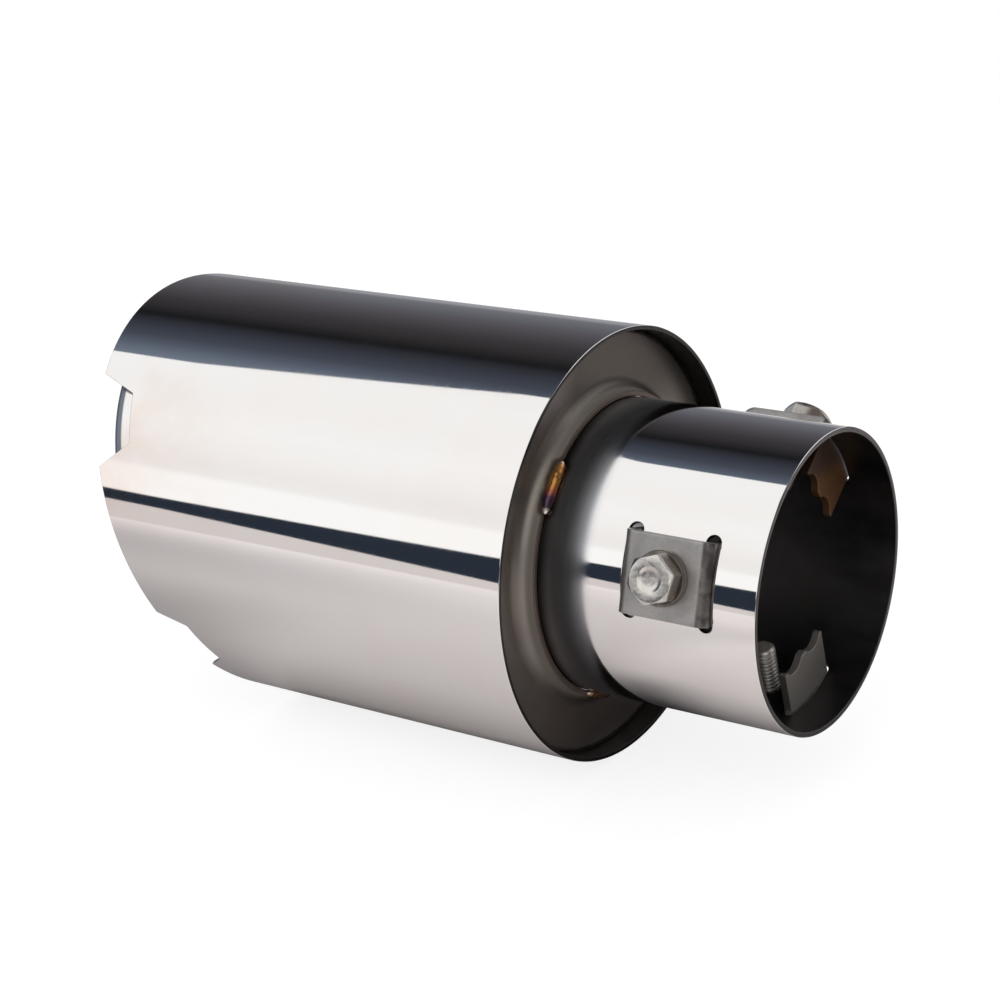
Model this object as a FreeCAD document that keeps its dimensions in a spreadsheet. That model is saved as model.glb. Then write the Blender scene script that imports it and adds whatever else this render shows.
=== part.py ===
"""Slash-cut exhaust tip of polished stainless sheet, with a clamped inlet neck.

The tube axis is X. The origin is the middle of the inlet mouth, +X points out of the mouth,
and the outlet's long side is up, along +Z. Turns about X are counted from straight up, and a
positive turn leans towards -Y. All lengths are in millimetres and all angles in degrees.
"""
import FreeCAD
import Part
import math
import os

import Sketcher

# Driving dimensions: name, number, what it is
SIZES = [
    ("shell_radius", 50.5, "outside radius of the outer shell"),
    ("shell_wall", 1.0, "sheet of the outer shell"),
    ("shell_start", 52.4, "mouth plane to the shell's inlet rim"),
    ("outlet_middle", 162.3, "mouth plane to the slash cut, on the axis"),
    ("rake_angle", 19.8, "slash cut's lean from square"),
    ("notch_floor", 12.6, "length of a notch's floor"),
    ("notch_long_angle", 35.0, "lean of a notch's flank on the long side, from square"),
    ("notch_short_angle", 23.0, "lean of a notch's other flank, from square"),
    ("notch_corner", 1.0, "radius in a notch's corners"),
    ("high_notch_angle", 54.4, "turn of the upper notch"),
    ("high_notch_depth", 9.9, "depth of the upper notch, square to the rim"),
    ("low_notch_angle", 119.6, "turn of the lower notch"),
    ("low_notch_depth", 7.1, "depth of the lower notch, square to the rim"),
    ("liner_gap", 3.5, "gap between the outer shell and the inner liner"),
    ("liner_wall", 1.0, "sheet of the inner liner"),
    ("lip_radius", 1.5, "radius of the liner's rolled lip"),
    ("lip_stand", 0.25, "how far the lip stands out of the liner"),
    ("plate_place", 57.9, "mouth plane to the end plate's flat"),
    ("plate_wall", 1.2, "sheet of the end plate"),
    ("plate_bend", 1.2, "outside bend at the plate's edge"),
    ("plate_skirt", 8.0, "depth of the plate's edge, from its flat"),
    ("collar_height", 4.4, "how far the collar stands out of the flat"),
    ("collar_bend", 3.4, "bend between the flat and the collar"),
    ("sheet_gap", 0.1, "gap between sheets that are pushed together"),
    ("neck_radius", 34.1, "outside radius of the inlet neck"),
    ("neck_wall", 1.2, "wall of the inlet neck"),
    ("neck_tail", 2.0, "how far the neck runs on behind the plate"),
    ("high_clamp_place", 21.7, "mouth plane to the upper clamp's bolt"),
    ("clamp_place", 21.15, "mouth plane to the middle clamp's bolt"),
    ("low_clamp_place", 20.1, "mouth plane to the lower clamp's bolt"),
    ("high_clamp_angle", -55.2, "turn of the upper clamp"),
    ("clamp_angle", 71.0, "turn of the middle clamp"),
    ("low_clamp_angle", 191.0, "turn of the lower clamp"),
    ("slot_offset", 9.35, "bolt to the middle of each slot"),
    ("slot_width", 3.6, "width of a slot"),
    ("slot_length", 21.0, "length of a slot, end to end"),
    ("thread_gap", 0.05, "gap between the bolt's thread and its hole"),
    ("claw_wall", 1.8, "sheet of a claw bracket"),
    ("claw_width", 17.9, "width of a claw bracket round the neck"),
    ("claw_reach", 10.7, "bolt to the outer face of each leg"),
    ("claw_bend", 2.4, "outside bend of a claw bracket"),
    ("claw_gap", 0.3, "gap between a claw bracket and the neck"),
    ("claw_leg", 15.0, "top of a claw bracket to its teeth"),
    ("tooth_depth", 1.7, "depth of the scallops between teeth"),
    ("tooth_tip", 1.0, "width of an outer tooth's tip, and half a middle one's"),
    ("washer_radius", 6.0, "outside radius of a washer"),
    ("washer_hole", 3.2, "radius of a washer's hole, and of the bracket's"),
    ("washer_wall", 1.6, "thickness of a washer"),
    ("bolt_radius", 3.0, "nominal radius of a bolt"),
    ("bolt_length", 16.0, "length of a bolt under its head"),
    ("bolt_point", 0.7, "chamfer at the bolt's end"),
    ("head_flats", 10.0, "bolt head, flat to flat"),
    ("head_height", 4.0, "height of a bolt head"),
    ("head_face", 4.8, "radius of the flat face on a bolt head"),
    ("head_angle", 18.0, "turn of a bolt head about its bolt"),
    ("head_slope_angle", 30.0, "slope of the chamfer on a bolt head"),
    ("dish_radius", 2.9, "radius of the dish in a bolt head"),
    ("dish_depth", 0.4, "depth of the dish in a bolt head"),
    ("weld_angle", 46.4, "turn of the middle tack weld"),
    ("weld_pitch_angle", 112.0, "turn from one tack weld to the next"),
    ("weld_sweep_angle", 21.0, "turn that a tack weld takes up"),
    ("weld_foot", 1.7, "how far a tack weld runs out on the neck"),
    ("weld_lap", 0.9, "how far a tack weld laps over the collar"),
    ("weld_crown", 1.9, "radius of a tack weld's crown"),
    ("weld_round", 0.7, "rounding of a tack weld's ends"),
]

WELDS = 3
HEAD_SIDES = 6
LEAST_CUT = 0.01
PARTS_FOLDER = "parts"

doc = FreeCAD.newDocument("exhaust_tip")


class Size:
    """A number together with the sheet formula that gives it."""

    def __init__(self, number, formula):
        self.number = float(number)
        self.formula = formula

    @staticmethod
    def of(value):
        return value if isinstance(value, Size) else Size(value, repr(float(value)))

    def __add__(self, other):
        other = Size.of(other)
        return Size(self.number + other.number, f"({self.formula} + {other.formula})")

    def __sub__(self, other):
        other = Size.of(other)
        return Size(self.number - other.number, f"({self.formula} - {other.formula})")

    def __mul__(self, other):
        other = Size.of(other)
        return Size(self.number * other.number, f"({self.formula} * {other.formula})")

    def __truediv__(self, other):
        other = Size.of(other)
        return Size(self.number / other.number, f"({self.formula} / {other.formula})")

    def __neg__(self):
        return Size(-self.number, f"(-1 * {self.formula})")

    def sin(self):
        return Size(math.sin(math.radians(self.number)), f"sin({self.formula})")

    def cos(self):
        return Size(math.cos(math.radians(self.number)), f"cos({self.formula})")

    def tan(self):
        return Size(math.tan(math.radians(self.number)), f"tan({self.formula})")

    def atan(self):
        return Size(math.degrees(math.atan(self.number)), f"atan({self.formula})")


def make_sheet():
    """Write the driving dimensions to a sheet, and return them as sizes by name."""
    sheet = doc.addObject("Spreadsheet::Sheet", "sizes")
    sizes = {}
    for row, (name, number, meaning) in enumerate(SIZES, start=1):
        sheet.set(f"A{row}", name)
        sheet.set(f"B{row}", str(number))
        sheet.set(f"C{row}", meaning)
        sheet.setAlias(f"B{row}", name)
        sizes[name] = Size(number, f"sizes.{name}")
    doc.recompute()
    return sizes


S = make_sheet()
ZERO = Size.of(0)

# Each clamp's place behind the mouth plane and its turn, the upper one first
CLAMPS = [
    (S["high_clamp_place"], S["high_clamp_angle"]),
    (S["clamp_place"], S["clamp_angle"]),
    (S["low_clamp_place"], S["low_clamp_angle"]),
]


def bind(item, prop, size):
    """Give a property its number and the formula that keeps it."""
    item.setExpression(prop, size.formula)


def place(item, prop, shift, turns):
    """Bind a placement to a shift along X, Y and Z and to turns, each an axis and a size.

    The first turn comes first, and the next is about the axis as the first one left it.
    """
    base = "; ".join(part.formula for part in shift)
    rotations = [f"rotation(vector({x}; {y}; {z}); {turn.formula})" for (x, y, z), turn in turns]
    rotation = " * ".join(rotations) or "rotation(vector(1; 0; 0); 0)"
    item.setExpression(prop, f"placement(vector({base}); {rotation})")


def new_body(name):
    body = doc.addObject("PartDesign::Body", name)
    body.Label = name
    return body


def origin_item(body, role):
    return next(item for item in body.Origin.OriginFeatures if item.Role == role)


def new_sketch(body, name, plane, shift=(ZERO, ZERO, ZERO), turns=()):
    """Start a sketch on one of the body's own planes, moved and turned from it."""
    sketch = body.newObject("Sketcher::SketchObject", name)
    sketch.AttachmentSupport = [(origin_item(body, plane), "")]
    sketch.MapMode = "FlatFace"
    place(sketch, "AttachmentOffset", shift, turns)
    return sketch


def pin(sketch, geometry, point, across, up):
    """Fix a point of a sketch at two sizes."""
    for kind, size in (("DistanceX", across), ("DistanceY", up)):
        index = sketch.addConstraint(Sketcher.Constraint(kind, geometry, point, size.number))
        sketch.setExpression(f"Constraints[{index}]", size.formula)


def draw_circle(sketch, radius, across=ZERO, up=ZERO):
    middle = FreeCAD.Vector(across.number, up.number, 0)
    circle = sketch.addGeometry(Part.Circle(middle, FreeCAD.Vector(0, 0, 1), radius.number), False)
    pin(sketch, circle, 3, across, up)
    index = sketch.addConstraint(Sketcher.Constraint("Radius", circle, radius.number))
    sketch.setExpression(f"Constraints[{index}]", radius.formula)


def arc_between(start, end, radius, left):
    """Arc of a circle from start to end, the short way, turning left or right."""
    chord = end - start
    middle = (start + end) * 0.5
    side = FreeCAD.Vector(-chord.y, chord.x, 0).normalize()
    reach = math.sqrt(max(radius ** 2 - (chord.Length / 2) ** 2, 0.0))
    centre = middle + side * (reach if left else -reach)
    crown = centre + (side * -radius if left else side * radius)
    return Part.Arc(start, crown, end)


def start_point(corner):
    """Which end of its edge a corner is: an arc that turns right is kept back to front."""
    return 2 if len(corner) == 4 and not corner[3] else 1


def draw_outline(sketch, corners):
    """Draw a closed outline. A corner is (across, up), or (across, up, radius, left) where an
    arc of that radius runs on to the next corner, turning left or right."""
    points = [FreeCAD.Vector(corner[0].number, corner[1].number, 0) for corner in corners]
    count = len(corners)
    for index, corner in enumerate(corners):
        start = points[index]
        end = points[(index + 1) % count]
        if len(corner) == 2:
            edge = Part.LineSegment(start, end)
        else:
            edge = arc_between(start, end, corner[2].number, corner[3])
        sketch.addGeometry(edge, False)
    for index, corner in enumerate(corners):
        first = start_point(corner)
        last = 3 - first
        following = (index + 1) % count
        next_first = start_point(corners[following])
        sketch.addConstraint(Sketcher.Constraint("Coincident", index, last, following, next_first))
        pin(sketch, index, first, corner[0], corner[1])
        if len(corner) == 4:
            number = sketch.addConstraint(Sketcher.Constraint("Radius", index, corner[2].number))
            sketch.setExpression(f"Constraints[{number}]", corner[2].formula)


def pad(body, name, sketch, length, reverse=False, midplane=False):
    feature = body.newObject("PartDesign::Pad", name)
    feature.Profile = sketch
    feature.Reversed = reverse
    if midplane:
        feature.SideType = "Symmetric"
    bind(feature, "Length", length)
    sketch.Visibility = False
    return feature


def pocket(body, name, sketch, length, reverse=False, midplane=False):
    feature = body.newObject("PartDesign::Pocket", name)
    feature.Profile = sketch
    feature.Reversed = reverse
    if midplane:
        feature.SideType = "Symmetric"
    bind(feature, "Length", length)
    sketch.Visibility = False
    return feature


def turned(body, kind, name, sketch, axis):
    """Revolve a sketch a whole turn, to add it (Revolution) or to cut it away (Groove)."""
    feature = body.newObject(f"PartDesign::{kind}", name)
    feature.Profile = sketch
    feature.ReferenceAxis = (origin_item(body, axis), [""])
    feature.Angle = 360
    sketch.Visibility = False
    return feature


def groove(body, name, corners):
    """Cut a ring of the given section away round the body's own Z axis."""
    sketch = new_sketch(body, f"{name}_side", "XZ_Plane")
    draw_outline(sketch, corners)
    turned(body, "Groove", name, sketch, "Z_Axis")


# Places that several pieces share
shell_inside = S["shell_radius"] - S["shell_wall"]
liner_radius = shell_inside - S["liner_gap"]
rake_slope = S["rake_angle"].tan()
plate_back = S["plate_place"] + S["plate_wall"]
claw_under = S["neck_radius"] + S["claw_gap"]
claw_top = claw_under + S["claw_wall"]
washer_top = claw_top + S["washer_wall"]
claw_teeth = claw_top - S["claw_leg"]
bolt_side = S["bolt_radius"] - S["thread_gap"]
bolt_end = washer_top - S["bolt_length"]
head_top = washer_top + S["head_height"]
beyond = S["shell_radius"] * 2


def draw_tube(body, name, start, radius, wall, length):
    """Pad a ring from a place behind the mouth towards the outlet."""
    ring = new_sketch(body, f"{name}_ring", "YZ_Plane", (ZERO, ZERO, -start))
    draw_circle(ring, radius)
    draw_circle(ring, radius - wall)
    return pad(body, f"{name}_tube", ring, length, reverse=True)


def cut_slash(body, name, middle):
    """Take away everything beyond a slanted plane that crosses the axis at a place."""
    sketch = new_sketch(body, f"{name}_slash_side", "XZ_Plane")
    high = -middle - beyond * rake_slope
    low = -middle + beyond * rake_slope
    far = -middle - beyond * 2
    draw_outline(sketch, [(low, -beyond), (high, beyond), (far, beyond), (far, -beyond)])
    return pocket(body, f"{name}_slash", sketch, beyond * 2, midplane=True)


def cut_notch(body, name, turn, depth):
    """Cut one slant-sided notch, square to the slanted rim at its middle."""
    rim = S["outlet_middle"] + S["shell_radius"] * rake_slope * turn.cos()
    twist = (rake_slope * turn.sin()).atan()
    long_run = depth * S["notch_long_angle"].tan()
    short_run = depth * S["notch_short_angle"].tan()
    half = (long_run + S["notch_floor"] + short_run) / 2
    turns = [((1, 0, 0), turn), ((0, 0, 1), twist)]
    sketch = new_sketch(body, f"{name}_side", "XY_Plane", (-rim, ZERO, ZERO), turns)
    draw_outline(sketch, [
        (-beyond, -half),
        (ZERO, -half),
        (depth, short_run - half),
        (depth, half - long_run),
        (ZERO, half),
        (-beyond, half),
    ])
    return pocket(body, name, sketch, beyond, reverse=True)


def make_outer_shell():
    body = new_body("outer_shell")
    length = S["outlet_middle"] + S["shell_radius"] * rake_slope - S["shell_start"]
    draw_tube(body, "shell", S["shell_start"], S["shell_radius"], S["shell_wall"], length)
    cut_slash(body, "shell", S["outlet_middle"])
    notches = [
        cut_notch(body, "high_notch", S["high_notch_angle"], S["high_notch_depth"]),
        cut_notch(body, "low_notch", S["low_notch_angle"], S["low_notch_depth"]),
    ]
    mirror = body.newObject("PartDesign::Mirrored", "far_notches")
    mirror.Originals = notches
    mirror.MirrorPlane = (origin_item(body, "XZ_Plane"), [""])
    body.Tip = mirror
    doc.recompute()
    round_notch_corners(body, mirror)
    return body


def round_notch_corners(body, cut):
    """Fillet the short edges through the sheet at both ends of each notch's floor."""
    shallow = min(S["high_notch_depth"].number, S["low_notch_depth"].number) / 2
    longest = S["shell_wall"].number * 3 / 2
    names = []
    for number, edge in enumerate(cut.Shape.Edges, start=1):
        middle = edge.CenterOfMass
        rim = -S["outlet_middle"].number - middle.z * rake_slope.number
        if edge.Length < longest and middle.x - rim > shallow:
            names.append(f"Edge{number}")
    fillet = body.newObject("PartDesign::Fillet", "notch_corners")
    fillet.Base = (cut, names)
    bind(fillet, "Radius", S["notch_corner"])


def make_inner_liner():
    body = new_body("inner_liner")
    length = S["outlet_middle"] + liner_radius * rake_slope - plate_back
    draw_tube(body, "liner", plate_back, liner_radius, S["liner_wall"], length)
    # the lip's far side lies in the slash plane, and the sheet ends at the lip's middle
    lip_middle = S["outlet_middle"] - S["lip_radius"] / S["rake_angle"].cos()
    cut_slash(body, "liner", lip_middle)
    roll = liner_radius - S["lip_radius"] + S["lip_stand"]
    # the lip's path is the ellipse that a slanted plane cuts from a cylinder
    turns = [((1, 0, 0), -S["rake_angle"])]
    path = new_sketch(body, "lip_path", "YZ_Plane", (ZERO, ZERO, -lip_middle), turns)
    draw_ellipse(path, roll, roll / S["rake_angle"].cos())
    section = new_sketch(body, "lip_section", "XZ_Plane")
    draw_circle(section, S["lip_radius"], -lip_middle - roll * rake_slope, roll)
    lip = body.newObject("PartDesign::AdditivePipe", "lip")
    lip.Profile = section
    lip.Spine = (path, ["Edge1"])
    return body


def draw_ellipse(sketch, across, up):
    """Ellipse about the sketch's origin, longer upwards."""
    crown = FreeCAD.Vector(0, up.number, 0)
    side = FreeCAD.Vector(across.number, 0, 0)
    index = sketch.addGeometry(Part.Ellipse(crown, side, FreeCAD.Vector(0, 0, 0)), False)
    sketch.exposeInternalGeometry(index)
    long_axis = index + 1
    short_axis = index + 2
    sketch.addConstraint(Sketcher.Constraint("Coincident", index, 3, -1, 1))
    sketch.addConstraint(Sketcher.Constraint("Vertical", long_axis))
    for axis, size in ((long_axis, up * 2), (short_axis, across * 2)):
        number = sketch.addConstraint(Sketcher.Constraint("Distance", axis, size.number))
        sketch.setExpression(f"Constraints[{number}]", size.formula)


def make_end_plate():
    """Pressed ring with a collar round the neck and a skirt inside the shell."""
    body = new_body("end_plate")
    sketch = new_sketch(body, "plate_section", "XZ_Plane")
    wall = S["plate_wall"]
    front = -S["plate_place"]
    back = -plate_back
    collar_end = front + S["collar_height"]
    collar_in = S["neck_radius"] + S["sheet_gap"]
    collar_out = collar_in + wall
    collar_turn = collar_out + S["collar_bend"]
    skirt_out = shell_inside - S["sheet_gap"]
    skirt_in = skirt_out - wall
    skirt_turn = skirt_out - S["plate_bend"]
    skirt_end = front - S["plate_skirt"]
    draw_outline(sketch, [
        (collar_end, collar_in),
        (collar_end, collar_out),
        (front + S["collar_bend"], collar_out, S["collar_bend"], False),
        (front, collar_turn),
        (front, skirt_turn, S["plate_bend"], True),
        (front - S["plate_bend"], skirt_out),
        (skirt_end, skirt_out),
        (skirt_end, skirt_in),
        (back, skirt_in),
        (back, collar_turn, S["collar_bend"] + wall, True),
        (front + S["collar_bend"], collar_in),
    ])
    turned(body, "Revolution", "plate", sketch, "X_Axis")
    return body


def draw_slot(sketch, across):
    """Round-ended slot across the tube axis, at a place along it."""
    half = S["slot_width"] / 2
    straight = S["slot_length"] / 2 - half
    ends = []
    for side in (1, -1):
        middle = FreeCAD.Vector(across.number, straight.number * side, 0)
        circle = Part.Circle(middle, FreeCAD.Vector(0, 0, 1), half.number)
        first = 0.0 if side > 0 else math.pi
        ends.append(sketch.addGeometry(Part.ArcOfCircle(circle, first, first + math.pi), False))
        pin(sketch, ends[-1], 3, across, straight * side)
    for side, start_arc, end_arc in ((1, ends[1], ends[0]), (-1, ends[0], ends[1])):
        edge = across.number + half.number * side
        start = FreeCAD.Vector(edge, -straight.number * side, 0)
        end = FreeCAD.Vector(edge, straight.number * side, 0)
        line = sketch.addGeometry(Part.LineSegment(start, end), False)
        sketch.addConstraint(Sketcher.Constraint("Tangent", start_arc, 2, line, 1))
        sketch.addConstraint(Sketcher.Constraint("Tangent", line, 2, end_arc, 1))
    sketch.addConstraint(Sketcher.Constraint("Equal", ends[0], ends[1]))
    index = sketch.addConstraint(Sketcher.Constraint("Radius", ends[0], half.number))
    sketch.setExpression(f"Constraints[{index}]", half.formula)


def make_inlet_neck():
    """Plain tube with two slots and a tapped hole for each clamp."""
    body = new_body("inlet_neck")
    length = plate_back + S["neck_tail"]
    draw_tube(body, "neck", ZERO, S["neck_radius"], S["neck_wall"], length)
    for number, (place_in, turn) in enumerate(CLAMPS, start=1):
        turns = [((1, 0, 0), turn)]
        for name, across in (("mouth_slot", S["slot_offset"]), ("plate_slot", -S["slot_offset"])):
            sketch = new_sketch(body, f"{name}_{number}_top", "XY_Plane", turns=turns)
            draw_slot(sketch, across - place_in)
            pocket(body, f"{name}_{number}", sketch, beyond, reverse=True)
        sketch = new_sketch(body, f"bolt_hole_{number}_top", "XY_Plane", turns=turns)
        draw_circle(sketch, S["bolt_radius"], -place_in)
        pocket(body, f"bolt_hole_{number}", sketch, beyond, reverse=True)
    return body


def seat_on_neck(body, number):
    """Turn a clamp's piece from straight up to its own place round the neck."""
    place_in, turn = CLAMPS[number - 1]
    place(body, "Placement", (-place_in, ZERO, ZERO), [((1, 0, 0), turn)])


def make_claw_bracket(number):
    """Bent strip: a flat top over the neck and two toothed legs through the slots."""
    body = new_body(f"claw_bracket_{number}")
    sketch = new_sketch(body, f"claw_section_{number}", "XZ_Plane")
    reach = S["claw_reach"]
    wall = S["claw_wall"]
    bend = S["claw_bend"]
    inner = reach - wall
    draw_outline(sketch, [
        (reach, claw_teeth),
        (reach, claw_top - bend, bend, True),
        (reach - bend, claw_top),
        (bend - reach, claw_top, bend, True),
        (-reach, claw_top - bend),
        (-reach, claw_teeth),
        (-inner, claw_teeth),
        (-inner, claw_top - bend, bend - wall, False),
        (bend - reach, claw_under),
        (reach - bend, claw_under, bend - wall, False),
        (inner, claw_top - bend),
        (inner, claw_teeth),
    ])
    pad(body, f"claw_strip_{number}", sketch, S["claw_width"], midplane=True)
    scallop = new_sketch(body, f"scallop_side_{number}", "YZ_Plane")
    near = S["tooth_tip"]
    far = S["claw_width"] / 2 - S["tooth_tip"]
    depth = S["tooth_depth"]
    half = (far - near) / 2
    round_radius = (half * half + depth * depth) / (depth * 2)
    draw_outline(scallop, [
        (far, claw_teeth, round_radius, True),
        (near, claw_teeth),
        (near, claw_teeth - depth),
        (far, claw_teeth - depth),
    ])
    cut = pocket(body, f"scallop_{number}", scallop, reach * 4, midplane=True)
    mirror = body.newObject("PartDesign::Mirrored", f"far_scallop_{number}")
    mirror.Originals = [cut]
    mirror.MirrorPlane = (origin_item(body, "XZ_Plane"), [""])
    body.Tip = mirror
    hole = new_sketch(body, f"claw_hole_top_{number}", "XY_Plane")
    draw_circle(hole, S["washer_hole"])
    pocket(body, f"claw_hole_{number}", hole, beyond, reverse=True)
    seat_on_neck(body, number)
    return body


def make_washer(number):
    body = new_body(f"clamp_washer_{number}")
    sketch = new_sketch(body, f"washer_ring_{number}", "XY_Plane", (ZERO, ZERO, claw_top))
    draw_circle(sketch, S["washer_radius"])
    draw_circle(sketch, S["washer_hole"])
    pad(body, f"washer_{number}", sketch, S["washer_wall"])
    seat_on_neck(body, number)
    return body


def make_bolt(number):
    """Hexagon head with a chamfered rim and a shallow dish, on a plain shank."""
    body = new_body(f"clamp_bolt_{number}")
    seat = (ZERO, ZERO, washer_top)
    head = new_sketch(body, f"head_top_{number}", "XY_Plane", seat, [((0, 0, 1), S["head_angle"])])
    corner = S["head_flats"] / 2 / Size.of(180 / HEAD_SIDES).cos()
    turns = [Size.of(360 / HEAD_SIDES * side) for side in range(HEAD_SIDES)]
    draw_outline(head, [(corner * turn.cos(), corner * turn.sin()) for turn in turns])
    pad(body, f"head_{number}", head, S["head_height"])
    shank = new_sketch(body, f"shank_top_{number}", "XY_Plane", seat)
    draw_circle(shank, bolt_side)
    pad(body, f"shank_{number}", shank, S["bolt_length"], reverse=True)
    groove(body, f"head_chamfer_{number}", [
        (S["head_face"], head_top),
        (S["head_face"] + corner, head_top - corner * S["head_slope_angle"].tan()),
        (S["head_face"] + corner, head_top),
    ])
    groove(body, f"dish_{number}", [
        (ZERO, head_top),
        (ZERO, head_top - S["dish_depth"]),
        (S["dish_radius"] - S["dish_depth"], head_top - S["dish_depth"]),
        (S["dish_radius"], head_top),
    ])
    groove(body, f"point_{number}", [
        (bolt_side - S["bolt_point"], bolt_end),
        (bolt_side + S["bolt_point"], bolt_end),
        (bolt_side + S["bolt_point"], bolt_end + S["bolt_point"] * 2),
    ])
    seat_on_neck(body, number)
    return body


def make_tack_weld(number):
    """Short fillet of weld metal in the corner between the neck and the collar's end."""
    body = new_body(f"tack_weld_{number}")
    sketch = new_sketch(body, f"weld_section_{number}", "XZ_Plane")
    collar_end = -S["plate_place"] + S["collar_height"]
    foot = S["neck_radius"]
    collar_out = foot + S["sheet_gap"] + S["plate_wall"]
    draw_outline(sketch, [
        (collar_end, foot),
        (collar_end + S["weld_foot"], foot, S["weld_crown"], True),
        (collar_end - S["weld_lap"], collar_out),
        (collar_end, collar_out),
    ])
    bead = body.newObject("PartDesign::Revolution", f"weld_bead_{number}")
    bead.Profile = sketch
    bead.ReferenceAxis = (origin_item(body, "X_Axis"), [""])
    bead.Midplane = True
    bind(bead, "Angle", S["weld_sweep_angle"])
    sketch.Visibility = False
    doc.recompute()
    ends = []
    for index, edge in enumerate(bead.Shape.Edges, start=1):
        # a crown's edge at a flat end is an arc that runs along the tube as well as round it
        runs_along = edge.BoundBox.XLength > S["weld_foot"].number
        if runs_along and not isinstance(edge.Curve, Part.Line):
            ends.append(f"Edge{index}")
    rounding = body.newObject("PartDesign::Fillet", f"weld_ends_{number}")
    rounding.Base = (bead, ends)
    bind(rounding, "Radius", S["weld_round"])
    turn = S["weld_angle"] + S["weld_pitch_angle"] * (number - 2)
    place(body, "Placement", (ZERO, ZERO, ZERO), [((1, 0, 0), turn)])
    return body


def make_pieces():
    pieces = [make_outer_shell(), make_inner_liner(), make_end_plate(), make_inlet_neck()]
    for number in range(1, len(CLAMPS) + 1):
        pieces += [make_claw_bracket(number), make_washer(number), make_bolt(number)]
    for number in range(1, WELDS + 1):
        pieces.append(make_tack_weld(number))
    doc.recompute()
    return pieces


def check_pieces(pieces):
    """Stop if a feature failed, a cut took nothing or a piece isn't one sound solid."""
    for item in doc.Objects:
        if "Invalid" in item.State or "Error" in item.State:
            raise RuntimeError(f"{item.Name} failed: {item.State}")
        if item.TypeId in ("PartDesign::Pocket", "PartDesign::Groove"):
            if item.BaseFeature.Shape.Volume - item.Shape.Volume < LEAST_CUT:
                raise RuntimeError(f"{item.Name} cuts nothing away")
    for piece in pieces:
        shape = piece.Shape
        if shape.isNull() or not shape.isValid() or len(shape.Solids) != 1:
            raise RuntimeError(f"{piece.Label} isn't one sound solid")


def write_pieces(pieces):
    os.makedirs(PARTS_FOLDER, exist_ok=True)
    for piece in pieces:
        piece.Shape.exportStep(os.path.join(PARTS_FOLDER, f"{piece.Label}.step"))
        print(f"{piece.Label}: {piece.Shape.Volume:.1f} mm3")


all_pieces = make_pieces()
check_pieces(all_pieces)
write_pieces(all_pieces)
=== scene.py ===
"""Exhaust tip: its finished surfaces and its studio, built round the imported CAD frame."""

import math

import bmesh
import bpy
import numpy as np
from bpy.props import FloatProperty, FloatVectorProperty, PointerProperty
from bpy.types import Operator, Panel, PropertyGroup
from mathutils import Matrix


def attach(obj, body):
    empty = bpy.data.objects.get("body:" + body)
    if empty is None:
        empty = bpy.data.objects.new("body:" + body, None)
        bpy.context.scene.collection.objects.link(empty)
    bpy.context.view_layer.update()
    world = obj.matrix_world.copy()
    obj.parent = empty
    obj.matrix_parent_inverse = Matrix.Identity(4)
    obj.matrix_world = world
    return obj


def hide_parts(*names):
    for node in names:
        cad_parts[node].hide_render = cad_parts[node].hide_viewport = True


bl_info = {
    "name": "Exhaust Tip",
    "version": (1, 0, 0),
    "blender": (4, 5, 0),
    "location": "3D View > Sidebar > Exhaust Tip",
    "description": "Builds a slash-cut exhaust tip with claw clamps, its finishes and its studio",
    "category": "Add Mesh",
}

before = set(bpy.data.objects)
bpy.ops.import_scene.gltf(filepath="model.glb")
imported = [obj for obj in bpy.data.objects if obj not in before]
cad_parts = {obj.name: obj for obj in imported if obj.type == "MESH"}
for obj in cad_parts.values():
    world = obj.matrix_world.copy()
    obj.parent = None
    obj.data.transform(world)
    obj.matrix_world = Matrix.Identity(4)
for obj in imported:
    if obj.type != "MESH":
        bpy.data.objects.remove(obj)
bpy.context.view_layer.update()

MM = 0.001
CLAMPS = 3
WELDS = 3
FULL_TURN = 2 * math.pi
NEAR = 2e-6

# Columns of the grids that are carried round the tube or a bolt
SHELL_COLUMNS = 1440
LINER_COLUMNS = 720
PLATE_COLUMNS = 360
BOLT_COLUMNS = 192
WASHER_COLUMNS = 96
FLOOR_COLUMNS = 96

# How the cut edges of thickened sheets are rounded
BEVEL_STEPS = 3
SHARP_ANGLE = math.radians(35)


# Properties that a user would change

def length(name, description, millimetres):
    """A size in the scene's units, written here in millimetres."""
    return FloatProperty(name=name, description=description, default=millimetres * MM,
                         min=0.0, precision=5, unit="LENGTH")


def angle(name, description, degrees):
    """A turn, written here in degrees."""
    return FloatProperty(name=name, description=description, default=math.radians(degrees),
                         unit="ROTATION")


def colour(name, description, red, green, blue):
    """A colour, written here as the screen shows it, from 0 to 255."""
    return FloatVectorProperty(name=name, description=description, subtype="COLOR", size=3,
                               min=0.0, max=1.0, default=as_light(red, green, blue)[:3])


def share(name, description, default):
    """A plain number from 0 to 1."""
    return FloatProperty(name=name, description=description, default=default,
                         min=0.0, max=1.0, subtype="FACTOR")


def as_light(red, green, blue):
    """Linear colour of one written as the screen shows it: each part raised to the screen's curve."""
    parts = [part / 255 for part in (red, green, blue)]
    linear = [part / 12.92 if part < 0.04045 else ((part + 0.055) / 1.055) ** 2.4 for part in parts]
    return (*linear, 1.0)


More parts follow.
